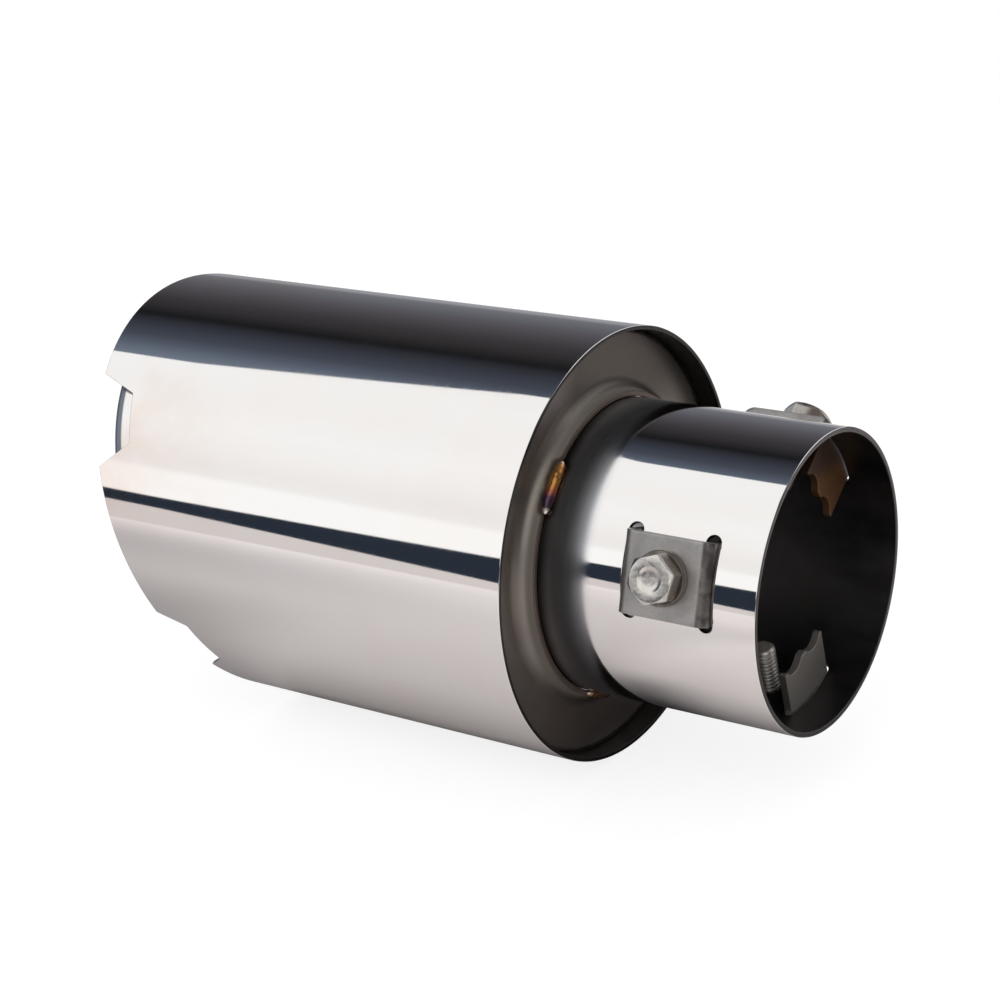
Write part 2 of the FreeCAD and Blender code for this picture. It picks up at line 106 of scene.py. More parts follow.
class TipSizes(PropertyGroup):
    """Sizes of the sheet parts and the clamps, the same as the CAD part's own."""
    shell_radius: length("Shell radius", "Outside of the outer shell", 50.5)
    shell_wall: length("Shell wall", "Sheet of the outer shell", 1.0)
    shell_start: length("Shell start", "From the mouth back to the shell's inlet rim", 52.4)
    outlet_middle: length("Outlet middle", "From the mouth to the slash cut on the axis", 162.3)
    rake_angle: angle("Rake", "Slash cut's lean from square", 19.8)
    notch_floor: length("Notch floor", "Width of a rim notch at its floor", 12.6)
    notch_long_angle: angle("Notch long side", "Lean of the side next the long rim", 35)
    notch_short_angle: angle("Notch short side", "Lean of the side next the short rim", 23)
    notch_corner: length("Notch corner", "Rounding in a notch's floor corners", 1.0)
    high_notch_angle: angle("High notch", "Turn of the high notch from straight up", 54.4)
    high_notch_depth: length("High notch depth", "Depth of the high notch", 9.9)
    low_notch_angle: angle("Low notch", "Turn of the low notch from straight up", 119.6)
    low_notch_depth: length("Low notch depth", "Depth of the low notch", 7.1)
    liner_radius: length("Liner radius", "Outside of the inner liner", 46.0)
    liner_wall: length("Liner wall", "Sheet of the inner liner", 1.0)
    lip_radius: length("Lip radius", "Radius of the liner's rolled lip", 1.5)
    lip_stand: length("Lip stand", "How far the lip stands out from the liner", 0.25)
    plate_place: length("Plate place", "From the mouth back to the end plate's front", 57.9)
    plate_wall: length("Plate wall", "Sheet of the end plate", 1.2)
    plate_skirt: length("Plate skirt", "Length of the plate's skirt inside the shell", 8.0)
    collar_height: length("Collar height", "How far the collar stands out of the plate", 4.4)
    collar_bend: length("Collar bend", "Bend between the plate and its collar", 3.4)
    sheet_gap: length("Sheet gap", "Gap between sheets that slide together", 0.1)
    neck_radius: length("Neck radius", "Outside of the inlet neck", 34.1)
    neck_wall: length("Neck wall", "Sheet of the inlet neck", 1.2)
    neck_tail: length("Neck tail", "How far the neck reaches behind the plate", 2.0)
    high_clamp_place: length("High clamp place", "From the mouth back to the high clamp's bolt", 21.7)
    clamp_place: length("Clamp place", "From the mouth back to the middle clamp's bolt", 21.15)
    low_clamp_place: length("Low clamp place", "From the mouth back to the low clamp's bolt", 20.1)
    high_clamp_angle: angle("High clamp turn", "Turn of the high clamp from straight up", -55.2)
    clamp_angle: angle("Clamp turn", "Turn of the middle clamp from straight up", 71)
    low_clamp_angle: angle("Low clamp turn", "Turn of the low clamp from straight up", 191)
    slot_offset: length("Slot offset", "From a bolt to its bracket's slots", 9.35)
    slot_width: length("Slot width", "Width of a bracket's slot", 3.6)
    slot_length: length("Slot length", "Length of a bracket's slot", 21.0)
    claw_gap: length("Claw gap", "Gap between a bracket and the neck's crown", 0.3)
    claw_wall: length("Claw wall", "Strip that a bracket is bent from", 1.8)
    claw_width: length("Claw width", "Width of that strip", 17.9)
    claw_reach: length("Claw reach", "From a bracket's middle to a leg's outside", 10.7)
    claw_bend: length("Claw bend", "Outside of a bracket's bends", 2.4)
    claw_leg: length("Claw leg", "Length of a bracket's legs", 15.0)
    tooth_depth: length("Tooth depth", "Depth of the scallops between the teeth", 1.7)
    tooth_tip: length("Tooth tip", "Half of the middle tooth's flat tip", 1.0)
    washer_radius: length("Washer radius", "Outside of a clamp washer", 6.0)
    washer_hole: length("Washer hole", "Radius of a washer's hole", 3.2)
    washer_wall: length("Washer wall", "Thickness of a washer", 1.6)
    bolt_radius: length("Bolt radius", "Half of a clamp bolt's thread size", 3.0)
    bolt_length: length("Bolt length", "Bolt under its head", 16.0)
    bolt_pitch: length("Bolt pitch", "Step of the bolt's thread", 1.0)
    bolt_point: length("Bolt point", "Chamfer at the bolt's end", 0.7)
    head_flats: length("Head flats", "Across the flats of a bolt's head", 10.0)
    head_height: length("Head height", "Height of a bolt's head", 4.0)
    head_face: length("Head face", "Radius of the flat on a bolt's head", 4.8)
    head_angle: angle("Head turn", "Turn of the head about the bolt", 18)
    head_slope_angle: angle("Head slope", "Slope of the head's chamfer", 30)
    dish_radius: length("Dish radius", "Radius of the dish in a bolt's head", 2.9)
    dish_depth: length("Dish depth", "Depth of the dish in a bolt's head", 0.4)
    weld_angle: angle("Weld turn", "Turn of the middle tack weld from straight up", 46.4)
    weld_pitch_angle: angle("Weld pitch", "Turn from one tack weld to the next", 112)
    weld_sweep_angle: angle("Weld sweep", "How far one tack weld runs round the neck", 21)
    weld_foot: length("Weld foot", "Reach of a weld along the neck", 1.7)
    weld_lap: length("Weld lap", "Reach of a weld over the collar", 0.9)
    edge_round: length("Edge rounding", "Rounding of cut sheet edges", 0.18)


class TipFinish(PropertyGroup):
    """Colours and gloss of the metal."""
    steel: colour("Polished steel", "Mirror-polished stainless sheet", 250, 249, 248)
    warm_steel: colour("Warm steel", "Faint straw tint of the polished sheet", 245, 232, 224)
    dull_steel: colour("Dulled steel", "Polished sheet dulled by the heat of the welds", 128, 142, 166)
    # painted shadow: the near-black band on the neck beside the collar's end
    seam_shadow: colour("Grime", "Dark seam between the neck and the collar", 24, 22, 24)
    # painted reflection: the blue-grey band along the liner's lip
    lip_reflection: colour("Lip slate", "Blue-grey edge of the liner's rolled lip", 110, 115, 126)
    raw_steel: colour("Raw steel", "Unpolished inside of the outer shell", 166, 163, 161)
    # painted shade: the shell's inside wall and cut face before the plate
    end_shade: colour("End grime", "Dark inside of the shell before the plate", 46, 44, 44)
    soot: colour("Soot", "Sooty inside of the neck", 95, 93, 93)
    plate: colour("End plate", "Pressed plate with its mill finish", 129, 122, 115)
    plate_shade: colour("End plate shade", "Darker cloudy parts of the plate", 112, 103, 98)
    # painted highlight: the lighter collar of the end plate
    collar_highlight: colour("Rubbed collar", "Collar of the plate, rubbed lighter", 176, 168, 160)
    bracket: colour("Bracket", "Dull blasted strip of the brackets", 190, 188, 186)
    bolt: colour("Bolt", "Bright plated bolts", 226, 223, 218)
    # duller sides and thread, and a painted shade on the bolts' sides
    bolt_side_dull_and_shade: colour("Bolt side", "Duller sides and thread of the bolts", 198, 192, 185)
    # painted shade on the bolts' sides towards the mouth
    bolt_shade: colour("Bolt shade", "Stained sides of the bolts towards the mouth", 92, 80, 70)
    # painted shade: the washers are coloured dark because they lie in the heads' shadow
    washer: colour("Washer", "Plated washers", 116, 110, 104)
    rust: colour("Rust", "Rusty leg of the high bracket", 112, 78, 46)
    dull_leg: colour("Dull leg", "Brackets' legs inside the neck", 128, 124, 120)
    # painted shade: the dark legs that stand high in the neck
    high_leg_shade: colour("Sooty leg", "Soot on the legs that stand high in the neck", 46, 40, 38)
    # painted shade on the brackets' bends towards the mouth
    bend_shade: colour("Bend shade", "Blackened bend of the brackets", 84, 80, 78)
    weld_straw: colour("Weld straw", "Pale straw next a weld's bright end", 196, 172, 150)
    weld_gold: colour("Weld gold", "Straw and gold heat tint", 205, 146, 78)
    weld_copper: colour("Weld copper", "Copper tint between gold and purple", 186, 112, 74)
    weld_purple: colour("Weld purple", "Purple heat tint", 92, 62, 88)
    weld_grey: colour("Weld grey", "Brownish grey next a weld's lower end", 72, 62, 66)
    # painted highlight: the white at both ends of each weld
    weld_end_highlight: colour("Weld white", "Bright bare metal at a weld's ends", 250, 246, 240)
    # the real burn round the welds, and also a painted shade: on the collar's end and over the low weld
    burn_and_shade: colour("Burnt edge", "Dark brown line round a weld", 70, 52, 42)
    halo: colour("Heat halo", "Olive straw tint round a weld", 150, 138, 100)
    mirror_roughness: share("Mirror roughness", "Roughness of the polished sheet", 0.03)
    satin_roughness: share("Satin roughness", "Roughness of the end plate", 0.36)
    blasted_roughness: share("Blasted roughness", "Roughness of the brackets", 0.42)


class StudioLook(PropertyGroup):
    """Light and floor of the photograph's studio."""
    backdrop: colour("Backdrop", "White background", 255, 255, 255)
    floor: colour("Floor", "Pale floor as the metal shows it", 212, 206, 205)
    # also used for the floor's painted shade towards the outlet
    far_floor: colour("Far floor", "Darker floor behind the part, as the metal shows it", 112, 113, 119)
    # painted shadow on the floor under the part, as the metal sees it
    floor_shade: colour("Floor shade", "Shade under the part, as the metal shows it", 30, 30, 40)
    floor_seen: colour("Seen floor", "What the floor's own shadow is drawn with", 128, 128, 128)
    floor_glow: share("Floor glow", "White added to the floor that the camera sees", 0.82)
    soft_light: FloatProperty(name="Soft light", description="Level of the plain light all round",
                              default=1.05, min=0.0)
    key_power: FloatProperty(name="Key power", description="Power of the near softbox",
                             default=5.0, min=0.0, unit="POWER")
    lens: FloatProperty(name="Lens", description="Focal length in millimetres",
                        default=82.56, min=1.0, unit="CAMERA")


# Surfaces worked out as whole arrays

def ring_point(x, turn, radius):
    """Points on a tube: x along it, radius out from its axis, turn from straight up towards -Y."""
    x, turn, radius = np.broadcast_arrays(x, turn, radius)
    return np.stack([x, -radius * np.sin(turn), radius * np.cos(turn)], -1)


def clamp_seats(sizes):
    """Each clamp's place behind the mouth and its turn, the high clamp first."""
    return [
        (sizes.high_clamp_place, sizes.high_clamp_angle),
        (sizes.clamp_place, sizes.clamp_angle),
        (sizes.low_clamp_place, sizes.low_clamp_angle),
    ]


def clamp_point(sizes, number, along, across, height):
    """Points of a clamp: along the tube, across it, and height from the tube's axis, then turned
    about the axis to the clamp's place."""
    place, turn = clamp_seats(sizes)[number - 1]
    along, across, height = np.broadcast_arrays(along, across, height)
    return np.stack([
        along - place,
        across * math.cos(turn) - height * math.sin(turn),
        across * math.sin(turn) + height * math.cos(turn),
    ], -1)


def unit(vectors):
    return vectors / np.linalg.norm(vectors, axis=-1, keepdims=True)


def rounded_outline(corners, radii, steps):
    """Outline with each corner replaced by an arc that touches both of its sides.
    The arc's middle lies on the corner's bisector, radius / sin(half the corner's angle) away."""
    corner = np.asarray(corners, float)
    radius = np.asarray(radii, float)[:, None]
    before = unit(np.roll(corner, 1, 0) - corner)
    after = unit(np.roll(corner, -1, 0) - corner)
    half = np.arccos(np.clip((before * after).sum(-1, keepdims=True), -1, 1)) / 2
    middle = corner + unit(before + after) * radius / np.sin(half)
    start = corner + before * radius / np.tan(half) - middle
    end = corner + after * radius / np.tan(half) - middle
    sweep = (math.pi - 2 * half)[:, None]
    share_along = np.linspace(0, 1, steps + 1)[None, :, None]
    arc = (np.sin((1 - share_along) * sweep) * start[:, None]
           + np.sin(share_along * sweep) * end[:, None]) / np.sin(sweep)
    return middle[:, None] + arc


def grid_faces(rows, columns, close_rows, close_columns):
    """Corner numbers of a grid's quads. A closed direction runs back to its start."""
    row = np.arange(rows if close_rows else rows - 1)[:, None]
    column = np.arange(columns if close_columns else columns - 1)[None, :]
    next_row = (row + 1) % rows
    next_column = (column + 1) % columns
    corners = [
        row * columns + column,
        row * columns + next_column,
        next_row * columns + next_column,
        next_row * columns + column,
    ]
    return np.stack(np.broadcast_arrays(*corners), -1).reshape(-1, 4)


def new_piece(name, grids, merge=NEAR):
    """One object from grids of points, each with its closed directions, joined where they meet."""
    points = []
    faces = []
    count = 0
    for grid, close_rows, close_columns in grids:
        faces.append(grid_faces(*grid.shape[:2], close_rows, close_columns) + count)
        points.append(grid.reshape(-1, 3))
        count += grid.shape[0] * grid.shape[1]
    mesh = bpy.data.meshes.new(name)
    mesh.from_pydata(np.concatenate(points).tolist(), [], np.concatenate(faces).tolist())
    tidy = bmesh.new()
    tidy.from_mesh(mesh)
    bmesh.ops.remove_doubles(tidy, verts=tidy.verts, dist=merge)
    bmesh.ops.recalc_face_normals(tidy, faces=tidy.faces)
    tidy.to_mesh(mesh)
    tidy.free()
    mesh.shade_smooth()
    piece = bpy.data.objects.new(name, mesh)
    bpy.context.scene.collection.objects.link(piece)
    return piece


def read(items, name, width):
    """A mesh's values as one array."""
    values = np.empty(len(items) * width)
    items.foreach_get(name, values)
    return values.reshape(-1, width)


def face_outwards(piece):
    """Turn an open tube's faces away from its axis, so its wall grows inwards."""
    mesh = piece.data
    centres = read(mesh.polygons, "center", 3)
    normals = read(mesh.polygons, "normal", 3)
    if (centres[:, 1:] * normals[:, 1:]).sum() < 0:
        mesh.flip_normals()


def thicken(piece, wall, rounding):
    """Give a sheet its wall inwards, round its cut edges and keep the result as the mesh."""
    solid = piece.modifiers.new("wall", "SOLIDIFY")
    solid.thickness = wall
    solid.offset = -1
    solid.use_even_offset = True
    bevel = piece.modifiers.new("edges", "BEVEL")
    bevel.width = rounding
    bevel.segments = BEVEL_STEPS
    bevel.limit_method = "ANGLE"
    bevel.angle_limit = SHARP_ANGLE
    view = bpy.context.evaluated_depsgraph_get()
    finished = bpy.data.meshes.new_from_object(piece.evaluated_get(view))
    piece.modifiers.clear()
    piece.data = finished
    finished.shade_smooth()


def smooth_rounds(piece, outside, inside):
    """Give the points on a tube's two walls the true normals of a cylinder, for clean reflections.
    Points off the walls, or that face too far from square, keep their own."""
    nearly_on_wall = 0.006 * MM
    least_facing = 0.7
    mesh = piece.data
    points = read(mesh.vertices, "co", 3)
    normals = read(mesh.vertex_normals, "vector", 3)
    radius = np.hypot(points[:, 1], points[:, 2])
    outward = np.stack([radius * 0, points[:, 1], points[:, 2]], -1) / radius[:, None]
    for wall, side in ((outside, 1), (inside, -1)):
        facing = (normals * outward).sum(-1) * side > least_facing
        on_wall = (abs(radius - wall) < nearly_on_wall) & facing
        normals[on_wall] = outward[on_wall] * side
    mesh.normals_split_custom_set_from_vertices(normals.tolist())


def weigh_normals(piece):
    """Keep flat faces looking flat beside small roundings."""
    weighted = piece.modifiers.new("flat_faces", "WEIGHTED_NORMAL")
    weighted.keep_sharp = False


def finish_piece(piece, body, material, slot, *nodes):
    """Dress a piece, let it ride on its body and stand for its CAD nodes."""
    piece.data.materials.clear()
    piece.data.materials.append(bpy.data.materials[material])
    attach(piece, body)
    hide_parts(*nodes)


# Shapes of the sheet parts

def slash_place(sizes, turn, radius):
    """x of the slash cut on a tube: its place on the axis, and on by the height times its slope."""
    return -sizes.outlet_middle - radius * np.cos(turn) * math.tan(sizes.rake_angle)


def notch_sides(sizes, turn, depth, radius):
    """Turns and x places along one notch: its slanted sides and floor are drawn flat, square to
    the slanted rim, and pressed straight down onto the tube."""
    overrun = 1.2 * MM
    corner_steps = 8
    slope = math.tan(sizes.rake_angle)
    rim = sizes.outlet_middle + sizes.shell_radius * slope * math.cos(turn)
    twist = math.atan(slope * math.sin(turn))
    long_run = depth * math.tan(sizes.notch_long_angle)
    short_run = depth * math.tan(sizes.notch_short_angle)
    half = (long_run + sizes.notch_floor + short_run) / 2
    corners = [(-overrun, -half - overrun * math.tan(sizes.notch_short_angle)),
               (depth, short_run - half), (depth, half - long_run),
               (-overrun, half + overrun * math.tan(sizes.notch_long_angle))]
    arcs = rounded_outline(corners, [0, sizes.notch_corner, sizes.notch_corner, 0], corner_steps)
    line = np.concatenate([[corners[0]], arcs[1], arcs[2], [corners[3]]])
    into, across = line[:, 0], line[:, 1]
    x = -rim + into * math.cos(twist) - across * math.sin(twist)
    side = into * math.sin(twist) + across * math.cos(twist)
    turns = turn - np.arcsin(side / radius)
    order = np.argsort(turns)
    return turns[order], x[order]


def shell_rim(sizes, turn, radius):
    """x of the shell's outlet rim: the slash cut, or a notch where that reaches further in."""
    around = (turn + math.pi) % FULL_TURN - math.pi
    x = slash_place(sizes, around, radius)
    notches = ((sizes.high_notch_angle, sizes.high_notch_depth),
               (sizes.low_notch_angle, sizes.low_notch_depth))
    for middle, depth in notches:
        turns, places = notch_sides(sizes, middle, depth, radius)
        notch = np.interp(abs(around), turns, places, left=-1, right=-1)
        x = np.maximum(x, notch)
    return x


def shell_grid(sizes):
    """Rolled sheet: a closed section of outside, outlet edge, inside and inlet edge, carried round
    the axis, with the outlet end of each section at its own place on the notched rim."""
    turn = np.arange(SHELL_COLUMNS) * FULL_TURN / SHELL_COLUMNS
    outer = sizes.shell_radius
    inner = outer - sizes.shell_wall
    edge = sizes.edge_round
    start = -sizes.shell_start
    rim_outer = shell_rim(sizes, turn, outer)
    rim_inner = shell_rim(sizes, turn, inner)
    edge_rows, outside_rows, inside_rows = 5, 28, 12
    bend = np.linspace(0, math.pi / 2, edge_rows)[:, None]
    out = np.linspace(0, 1, outside_rows)[:, None]
    back = np.linspace(0, 1, inside_rows)[:, None]
    rows = [
        ((start - edge) * (1 - out) + (rim_outer + edge) * out, outer),
        (rim_outer + edge - edge * np.sin(bend), outer - edge + edge * np.cos(bend)),
        (rim_inner + edge - edge * np.cos(bend), inner + edge - edge * np.sin(bend)),
        ((rim_inner + edge) * (1 - back) + (start - edge) * back, inner),
        (start - edge + edge * np.sin(bend) + turn * 0, inner + edge - edge * np.cos(bend)),
        (start - edge + edge * np.cos(bend) + turn * 0, outer - edge + edge * np.sin(bend)),
    ]
    return np.concatenate([ring_point(x, turn, radius) for x, radius in rows])


def liner_grid(sizes):
    """Tube with a lip rolled along the ellipse where the slash plane cuts a cylinder. The lip is a
    circle carried along that ellipse, square to it, and the walls run into the circle."""
    lip_rows, wall_rows, edge_rows = 28, 19, 4
    turn = np.arange(LINER_COLUMNS) * FULL_TURN / LINER_COLUMNS
    slope = math.tan(sizes.rake_angle)
    outer = sizes.liner_radius
    inner = outer - sizes.liner_wall
    lip = sizes.lip_radius
    start = -sizes.plate_place - sizes.plate_wall
    roll = outer - lip + sizes.lip_stand
    lip_middle = sizes.outlet_middle - lip / math.cos(sizes.rake_angle)
    centre = ring_point(-lip_middle - roll * np.cos(turn) * slope, turn, roll)
    plane = unit(np.array([1.0, 0.0, slope]))
    path = unit(np.roll(centre, -1, 0) - np.roll(centre, 1, 0))
    out = np.cross(plane, path)
    out *= np.sign((out * ring_point(0.0, turn, 1.0)).sum(-1, keepdims=True))
    first = math.acos((outer - roll) / lip)
    last = math.acos((inner - roll) / lip) - FULL_TURN
    around = np.linspace(first, last, lip_rows)[:, None, None]
    curl = centre + lip * (np.cos(around) * out + np.sin(around) * plane)
    edge = sizes.edge_round
    along = np.linspace(0, 1, wall_rows + 1)[:-1, None, None]
    wall_start = ring_point(start - edge, turn, outer)
    outside = wall_start * (1 - along) + curl[0] * along
    inside_end = ring_point(start - edge, turn, inner)
    inside = curl[-1] * along + inside_end * (1 - along)
    bend = np.linspace(0, math.pi / 2, edge_rows)[:, None]
    in_x = start - edge + edge * np.sin(bend) + turn * 0
    out_x = start - edge + edge * np.cos(bend) + turn * 0
    ends = np.concatenate([
        ring_point(in_x, turn, inner + edge - edge * np.cos(bend)),
        ring_point(out_x, turn, outer - edge + edge * np.sin(bend)),
    ])
    return np.concatenate([outside, curl, inside[::-1], ends])


def turned_grid(section, columns):
    """A closed section of places along the axis and radii, carried once round the axis."""
    turn = np.arange(columns) * FULL_TURN / columns
    return ring_point(section[:, :1], turn, section[:, 1:])


def plate_section(sizes):
    """The pressed end plate's sheet: collar, bend, flat, bend and skirt."""
    front = -sizes.plate_place
    back = front - sizes.plate_wall
    collar_end = front + sizes.collar_height
    collar_in = sizes.neck_radius + sizes.sheet_gap
    collar_out = collar_in + sizes.plate_wall
    skirt_out = sizes.shell_radius - sizes.shell_wall - sizes.sheet_gap
    skirt_in = skirt_out - sizes.plate_wall
    skirt_end = front - sizes.plate_skirt
    edge = sizes.edge_round
    rubbed_edge = edge * 1.6
    outer_bend = sizes.collar_bend + sizes.plate_wall
    corner_steps = 10
    corners = [(collar_end, collar_in), (collar_end, collar_out), (front, collar_out),
               (front, skirt_out), (skirt_end, skirt_out), (skirt_end, skirt_in),
               (back, skirt_in), (back, collar_in)]
    radii = [edge, rubbed_edge, sizes.collar_bend, sizes.plate_wall, edge, edge, edge, outer_bend]
    return rounded_outline(corners, radii, corner_steps).reshape(-1, 2)


def whole_outline(quarter):
    """A closed outline from its quarter, which runs from the top to the end: mirrored downwards,
    then to the other side."""
    half = np.concatenate([quarter, (quarter * (1, -1))[::-1][1:]])
    return np.concatenate([half, (half * (-1, 1))[::-1][1:-1]])


def hole_grid(half_long, above, below, quarter, count_long, count_wide, rows):
    """Flat grid between a rectangle and a hole inside it. Each row is a loop that is a blend of
    the two outlines, and quarter gives the hole's outline from its top to its end. The rectangle
    reaches above and below the hole's middle by its own lengths."""
    long_side = np.stack([np.linspace(0, half_long, count_long + 1), np.ones(count_long + 1)], -1)
    end_side = np.stack([np.full(count_wide, half_long), np.linspace(1, 0, count_wide + 1)[1:]], -1)
    hole = whole_outline(quarter)
    block = whole_outline(np.concatenate([long_side, end_side]))
    block[:, 1] *= np.where(block[:, 1] > 0, above, below)
    blend = np.linspace(0, 1, rows)[:, None, None]
    return hole * (1 - blend) + block * blend


def slot_quarter(half_long, half_wide, straight_count, arc_count):
    """A round-ended slot's outline from the middle of its side to the middle of its end."""
    straight = half_long - half_wide
    bend = np.linspace(0, math.pi / 2, arc_count + 1)[1:]
    side = np.stack([np.linspace(0, straight, straight_count + 1),
                     np.full(straight_count + 1, half_wide)], -1)
    end = np.stack([straight + half_wide * np.sin(bend), half_wide * np.cos(bend)], -1)
    return np.concatenate([side, end])


def round_quarter(radius, count):
    bend = np.linspace(0, math.pi / 2, count + 1)
    return np.stack([radius * np.sin(bend), radius * np.cos(bend)], -1)


def neck_grids(sizes):
    """The neck's outer face: bands of plain grid round the tube, and for each clamp three blocks
    that hold a slot, the bolt's hole and a slot, all laid out flat and wrapped round the axis."""
    radius = sizes.neck_radius
    half_wide = sizes.slot_offset / 2
    half_long = 14.25 * MM
    reach = half_long / radius
    count_long, count_wide = 24, 8
    slot_side_steps, slot_end_steps = 22, 10
    between_points = 73
    hole_rows, mouth_rows, tail_rows = 9, 9, 25
    tail = -sizes.plate_place - sizes.plate_wall - sizes.neck_tail
    seats = clamp_seats(sizes)
    high = half_wide * 3 - min(place for place, middle in seats)
    low = -half_wide * 3 - max(place for place, middle in seats)
    middles = [middle for place, middle in seats]
    slot = slot_quarter(sizes.slot_length / 2, sizes.slot_width / 2, slot_side_steps, slot_end_steps)
    hole = round_quarter(sizes.bolt_radius, count_long + count_wide)
    grids = []
    sides = []
    for place, middle in seats:
        knots = [high, sizes.slot_offset - place, half_wide - place, -place,
                 -half_wide - place, -sizes.slot_offset - place, low]
        sides.append(np.concatenate([np.linspace(a, b, count_wide + 1)[:-1]
                                     for a, b in zip(knots, knots[1:])] + [[low]])[:, None])
        for index, quarter in ((1, slot), (3, hole), (5, slot)):
            above = knots[index - 1] - knots[index]
            below = knots[index] - knots[index + 1]
            flat = hole_grid(half_long, above, below, quarter, count_long, count_wide, hole_rows)
            x = flat[..., 1] + knots[index]
            grids.append((ring_point(x, middle + flat[..., 0] / radius, radius), False, True))
    columns = []
    blend = np.linspace(0, 1, between_points)
    for index, middle in enumerate(middles):
        following = middles[index + 1] if index + 1 < CLAMPS else middles[0] + FULL_TURN
        between = np.linspace(middle + reach, following - reach, between_points)
        x = sides[index] * (1 - blend) + sides[(index + 1) % CLAMPS] * blend
        grids.append((ring_point(x, between, radius), False, False))
        columns.append(np.linspace(middle - reach, middle + reach, count_long * 2 + 1)[:-1])
        columns.append(between[:-1])
    around = np.concatenate(columns)
    for first, last, rows in ((0.0, high, mouth_rows), (low, tail, tail_rows)):
        x = np.linspace(first, last, rows)[:, None]
        grids.append((ring_point(x, around, radius), False, True))
    return grids


def leg_end(sizes, across):
    """Height of a leg's toothed end: flat tips at the middle and the sides, and between them two
    scallops, each an arc through its tips and its depth."""
    tip = sizes.tooth_tip
    half = (sizes.claw_width / 2 - tip * 2) / 2
    depth = sizes.tooth_depth
    arc = (half * half + depth * depth) / (depth * 2)
    from_middle = abs(across) - tip - half
    inside = np.clip(arc * arc - from_middle ** 2, 0, None)
    scallop = np.sqrt(inside) - (arc - depth)
    return np.where(abs(from_middle) < half, np.clip(scallop, 0, None), 0)


def bracket_grids(sizes, number):
    """A flat blank with a round hole and scalloped ends, bent down at both sides. The blank is a
    grid of lengths along it and across it, and bending turns a length into a place."""
    top = sizes.neck_radius + sizes.claw_gap + sizes.claw_wall
    bend = sizes.claw_bend
    flat = sizes.claw_reach - bend
    half_width = sizes.claw_width / 2
    straight = sizes.claw_leg - bend
    tip = sizes.tooth_tip
    knots = [-half_width, tip - half_width, -tip, tip, half_width - tip, half_width]
    counts = [2, 12, 4, 12, 2]
    disc_rows, bend_rows, leg_rows = 10, 8, 21
    across = np.concatenate([np.linspace(a, b, count + 1)[:-1]
                             for a, b, count in zip(knots, knots[1:], counts)] + [[half_width]])

    def bent(along, side):
        """Flat over the neck, then round the bend's arc, then straight down."""
        past = np.clip(abs(along) - flat, 0, None)
        arc = np.clip(past / bend, 0, math.pi / 2)
        down = np.clip(past - bend * math.pi / 2, 0, None)
        x = np.sign(along) * (np.minimum(abs(along), flat) + bend * np.sin(arc))
        height = top - bend * (1 - np.cos(arc)) - down
        return clamp_point(sizes, number, x, side, height)

    count = len(across) - 1
    half = count // 2
    rim_quarter = np.concatenate([
        np.stack([np.linspace(0, flat, half + 1), np.full(half + 1, half_width)], -1),
        np.stack([np.full(half, flat), across[::-1][1:half + 1]], -1),
    ])
    blend = np.linspace(0, 1, disc_rows)[:, None, None]
    hole = whole_outline(round_quarter(sizes.washer_hole, count))
    disc = hole * (1 - blend) + whole_outline(rim_quarter) * blend
    grids = [(bent(disc[..., 0], disc[..., 1]), False, True)]
    rows = np.concatenate([np.linspace(0, 1, bend_rows + 1)[:-1] * bend * math.pi / 2,
                           np.full(leg_rows, bend * math.pi / 2)])[:, None]
    share_down = np.concatenate([np.zeros(bend_rows), np.linspace(0, 1, leg_rows)])[:, None]
    leg = straight - leg_end(sizes, across)
    along = flat + rows + share_down * leg
    for side in (1, -1):
        grids.append((bent(along * side, across + along * 0), False, False))
    return grids


def head_radius(sizes, around):
    """Rounded hexagon: half the flats divided by the high-power mean of the six sides' cosines.
    The higher the power, the sharper its corners."""
    power = 70
    sides = np.arange(6) * math.pi / 3 + math.pi / 6
    facing = np.clip(np.cos(around[..., None] - sides), 0, None)
    return sizes.head_flats / 2 / (facing ** power).sum(-1) ** (1 / power)


def bolt_head(sizes, around, seat):
    """Radii and heights of the head's rings, from the dish's middle out over the face and the
    chamfer, down the hexagon's sides and in under the head."""
    top = seat + sizes.head_height
    hexagon = head_radius(sizes, around)
    slope = math.tan(sizes.head_slope_angle)
    face = sizes.head_face
    edge = 0.12 * MM
    soft = 0.01 * MM
    chamfer_end = top - (hexagon - face) * slope
    dish = sizes.dish_radius
    depth = sizes.dish_depth
    floor = top - depth
    rings = [
        (0.0, floor), (dish * 0.4, floor + 0.02 * MM), (dish - depth * 2.2, floor + 0.04 * MM),
        (dish - depth * 1.6, floor + 0.09 * MM), (dish - depth * 0.5, top - 0.06 * MM),
        (dish, top - soft), (dish + edge, top), (face - edge, top),
        (face, top - soft), (face + edge, top - edge * slope),
        (hexagon - edge * 1.5, chamfer_end + edge * 1.5 * slope),
        (hexagon - edge * 0.5, chamfer_end + edge * 0.2), (hexagon, chamfer_end - edge),
    ]
    for share_down in np.linspace(0.1, 1, 8):
        rings.append((hexagon, chamfer_end * (1 - share_down) + (seat + edge * 1.5) * share_down))
    rings.append((hexagon - edge * 0.4, seat + edge * 0.4))
    rings.append((hexagon - edge * 1.5, seat))
    rings.append((sizes.bolt_radius * 1.05, seat))
    radii, heights = ([np.broadcast_to(part, around.shape) for part in parts] for parts in zip(*rings))
    return np.array(radii), np.array(heights)


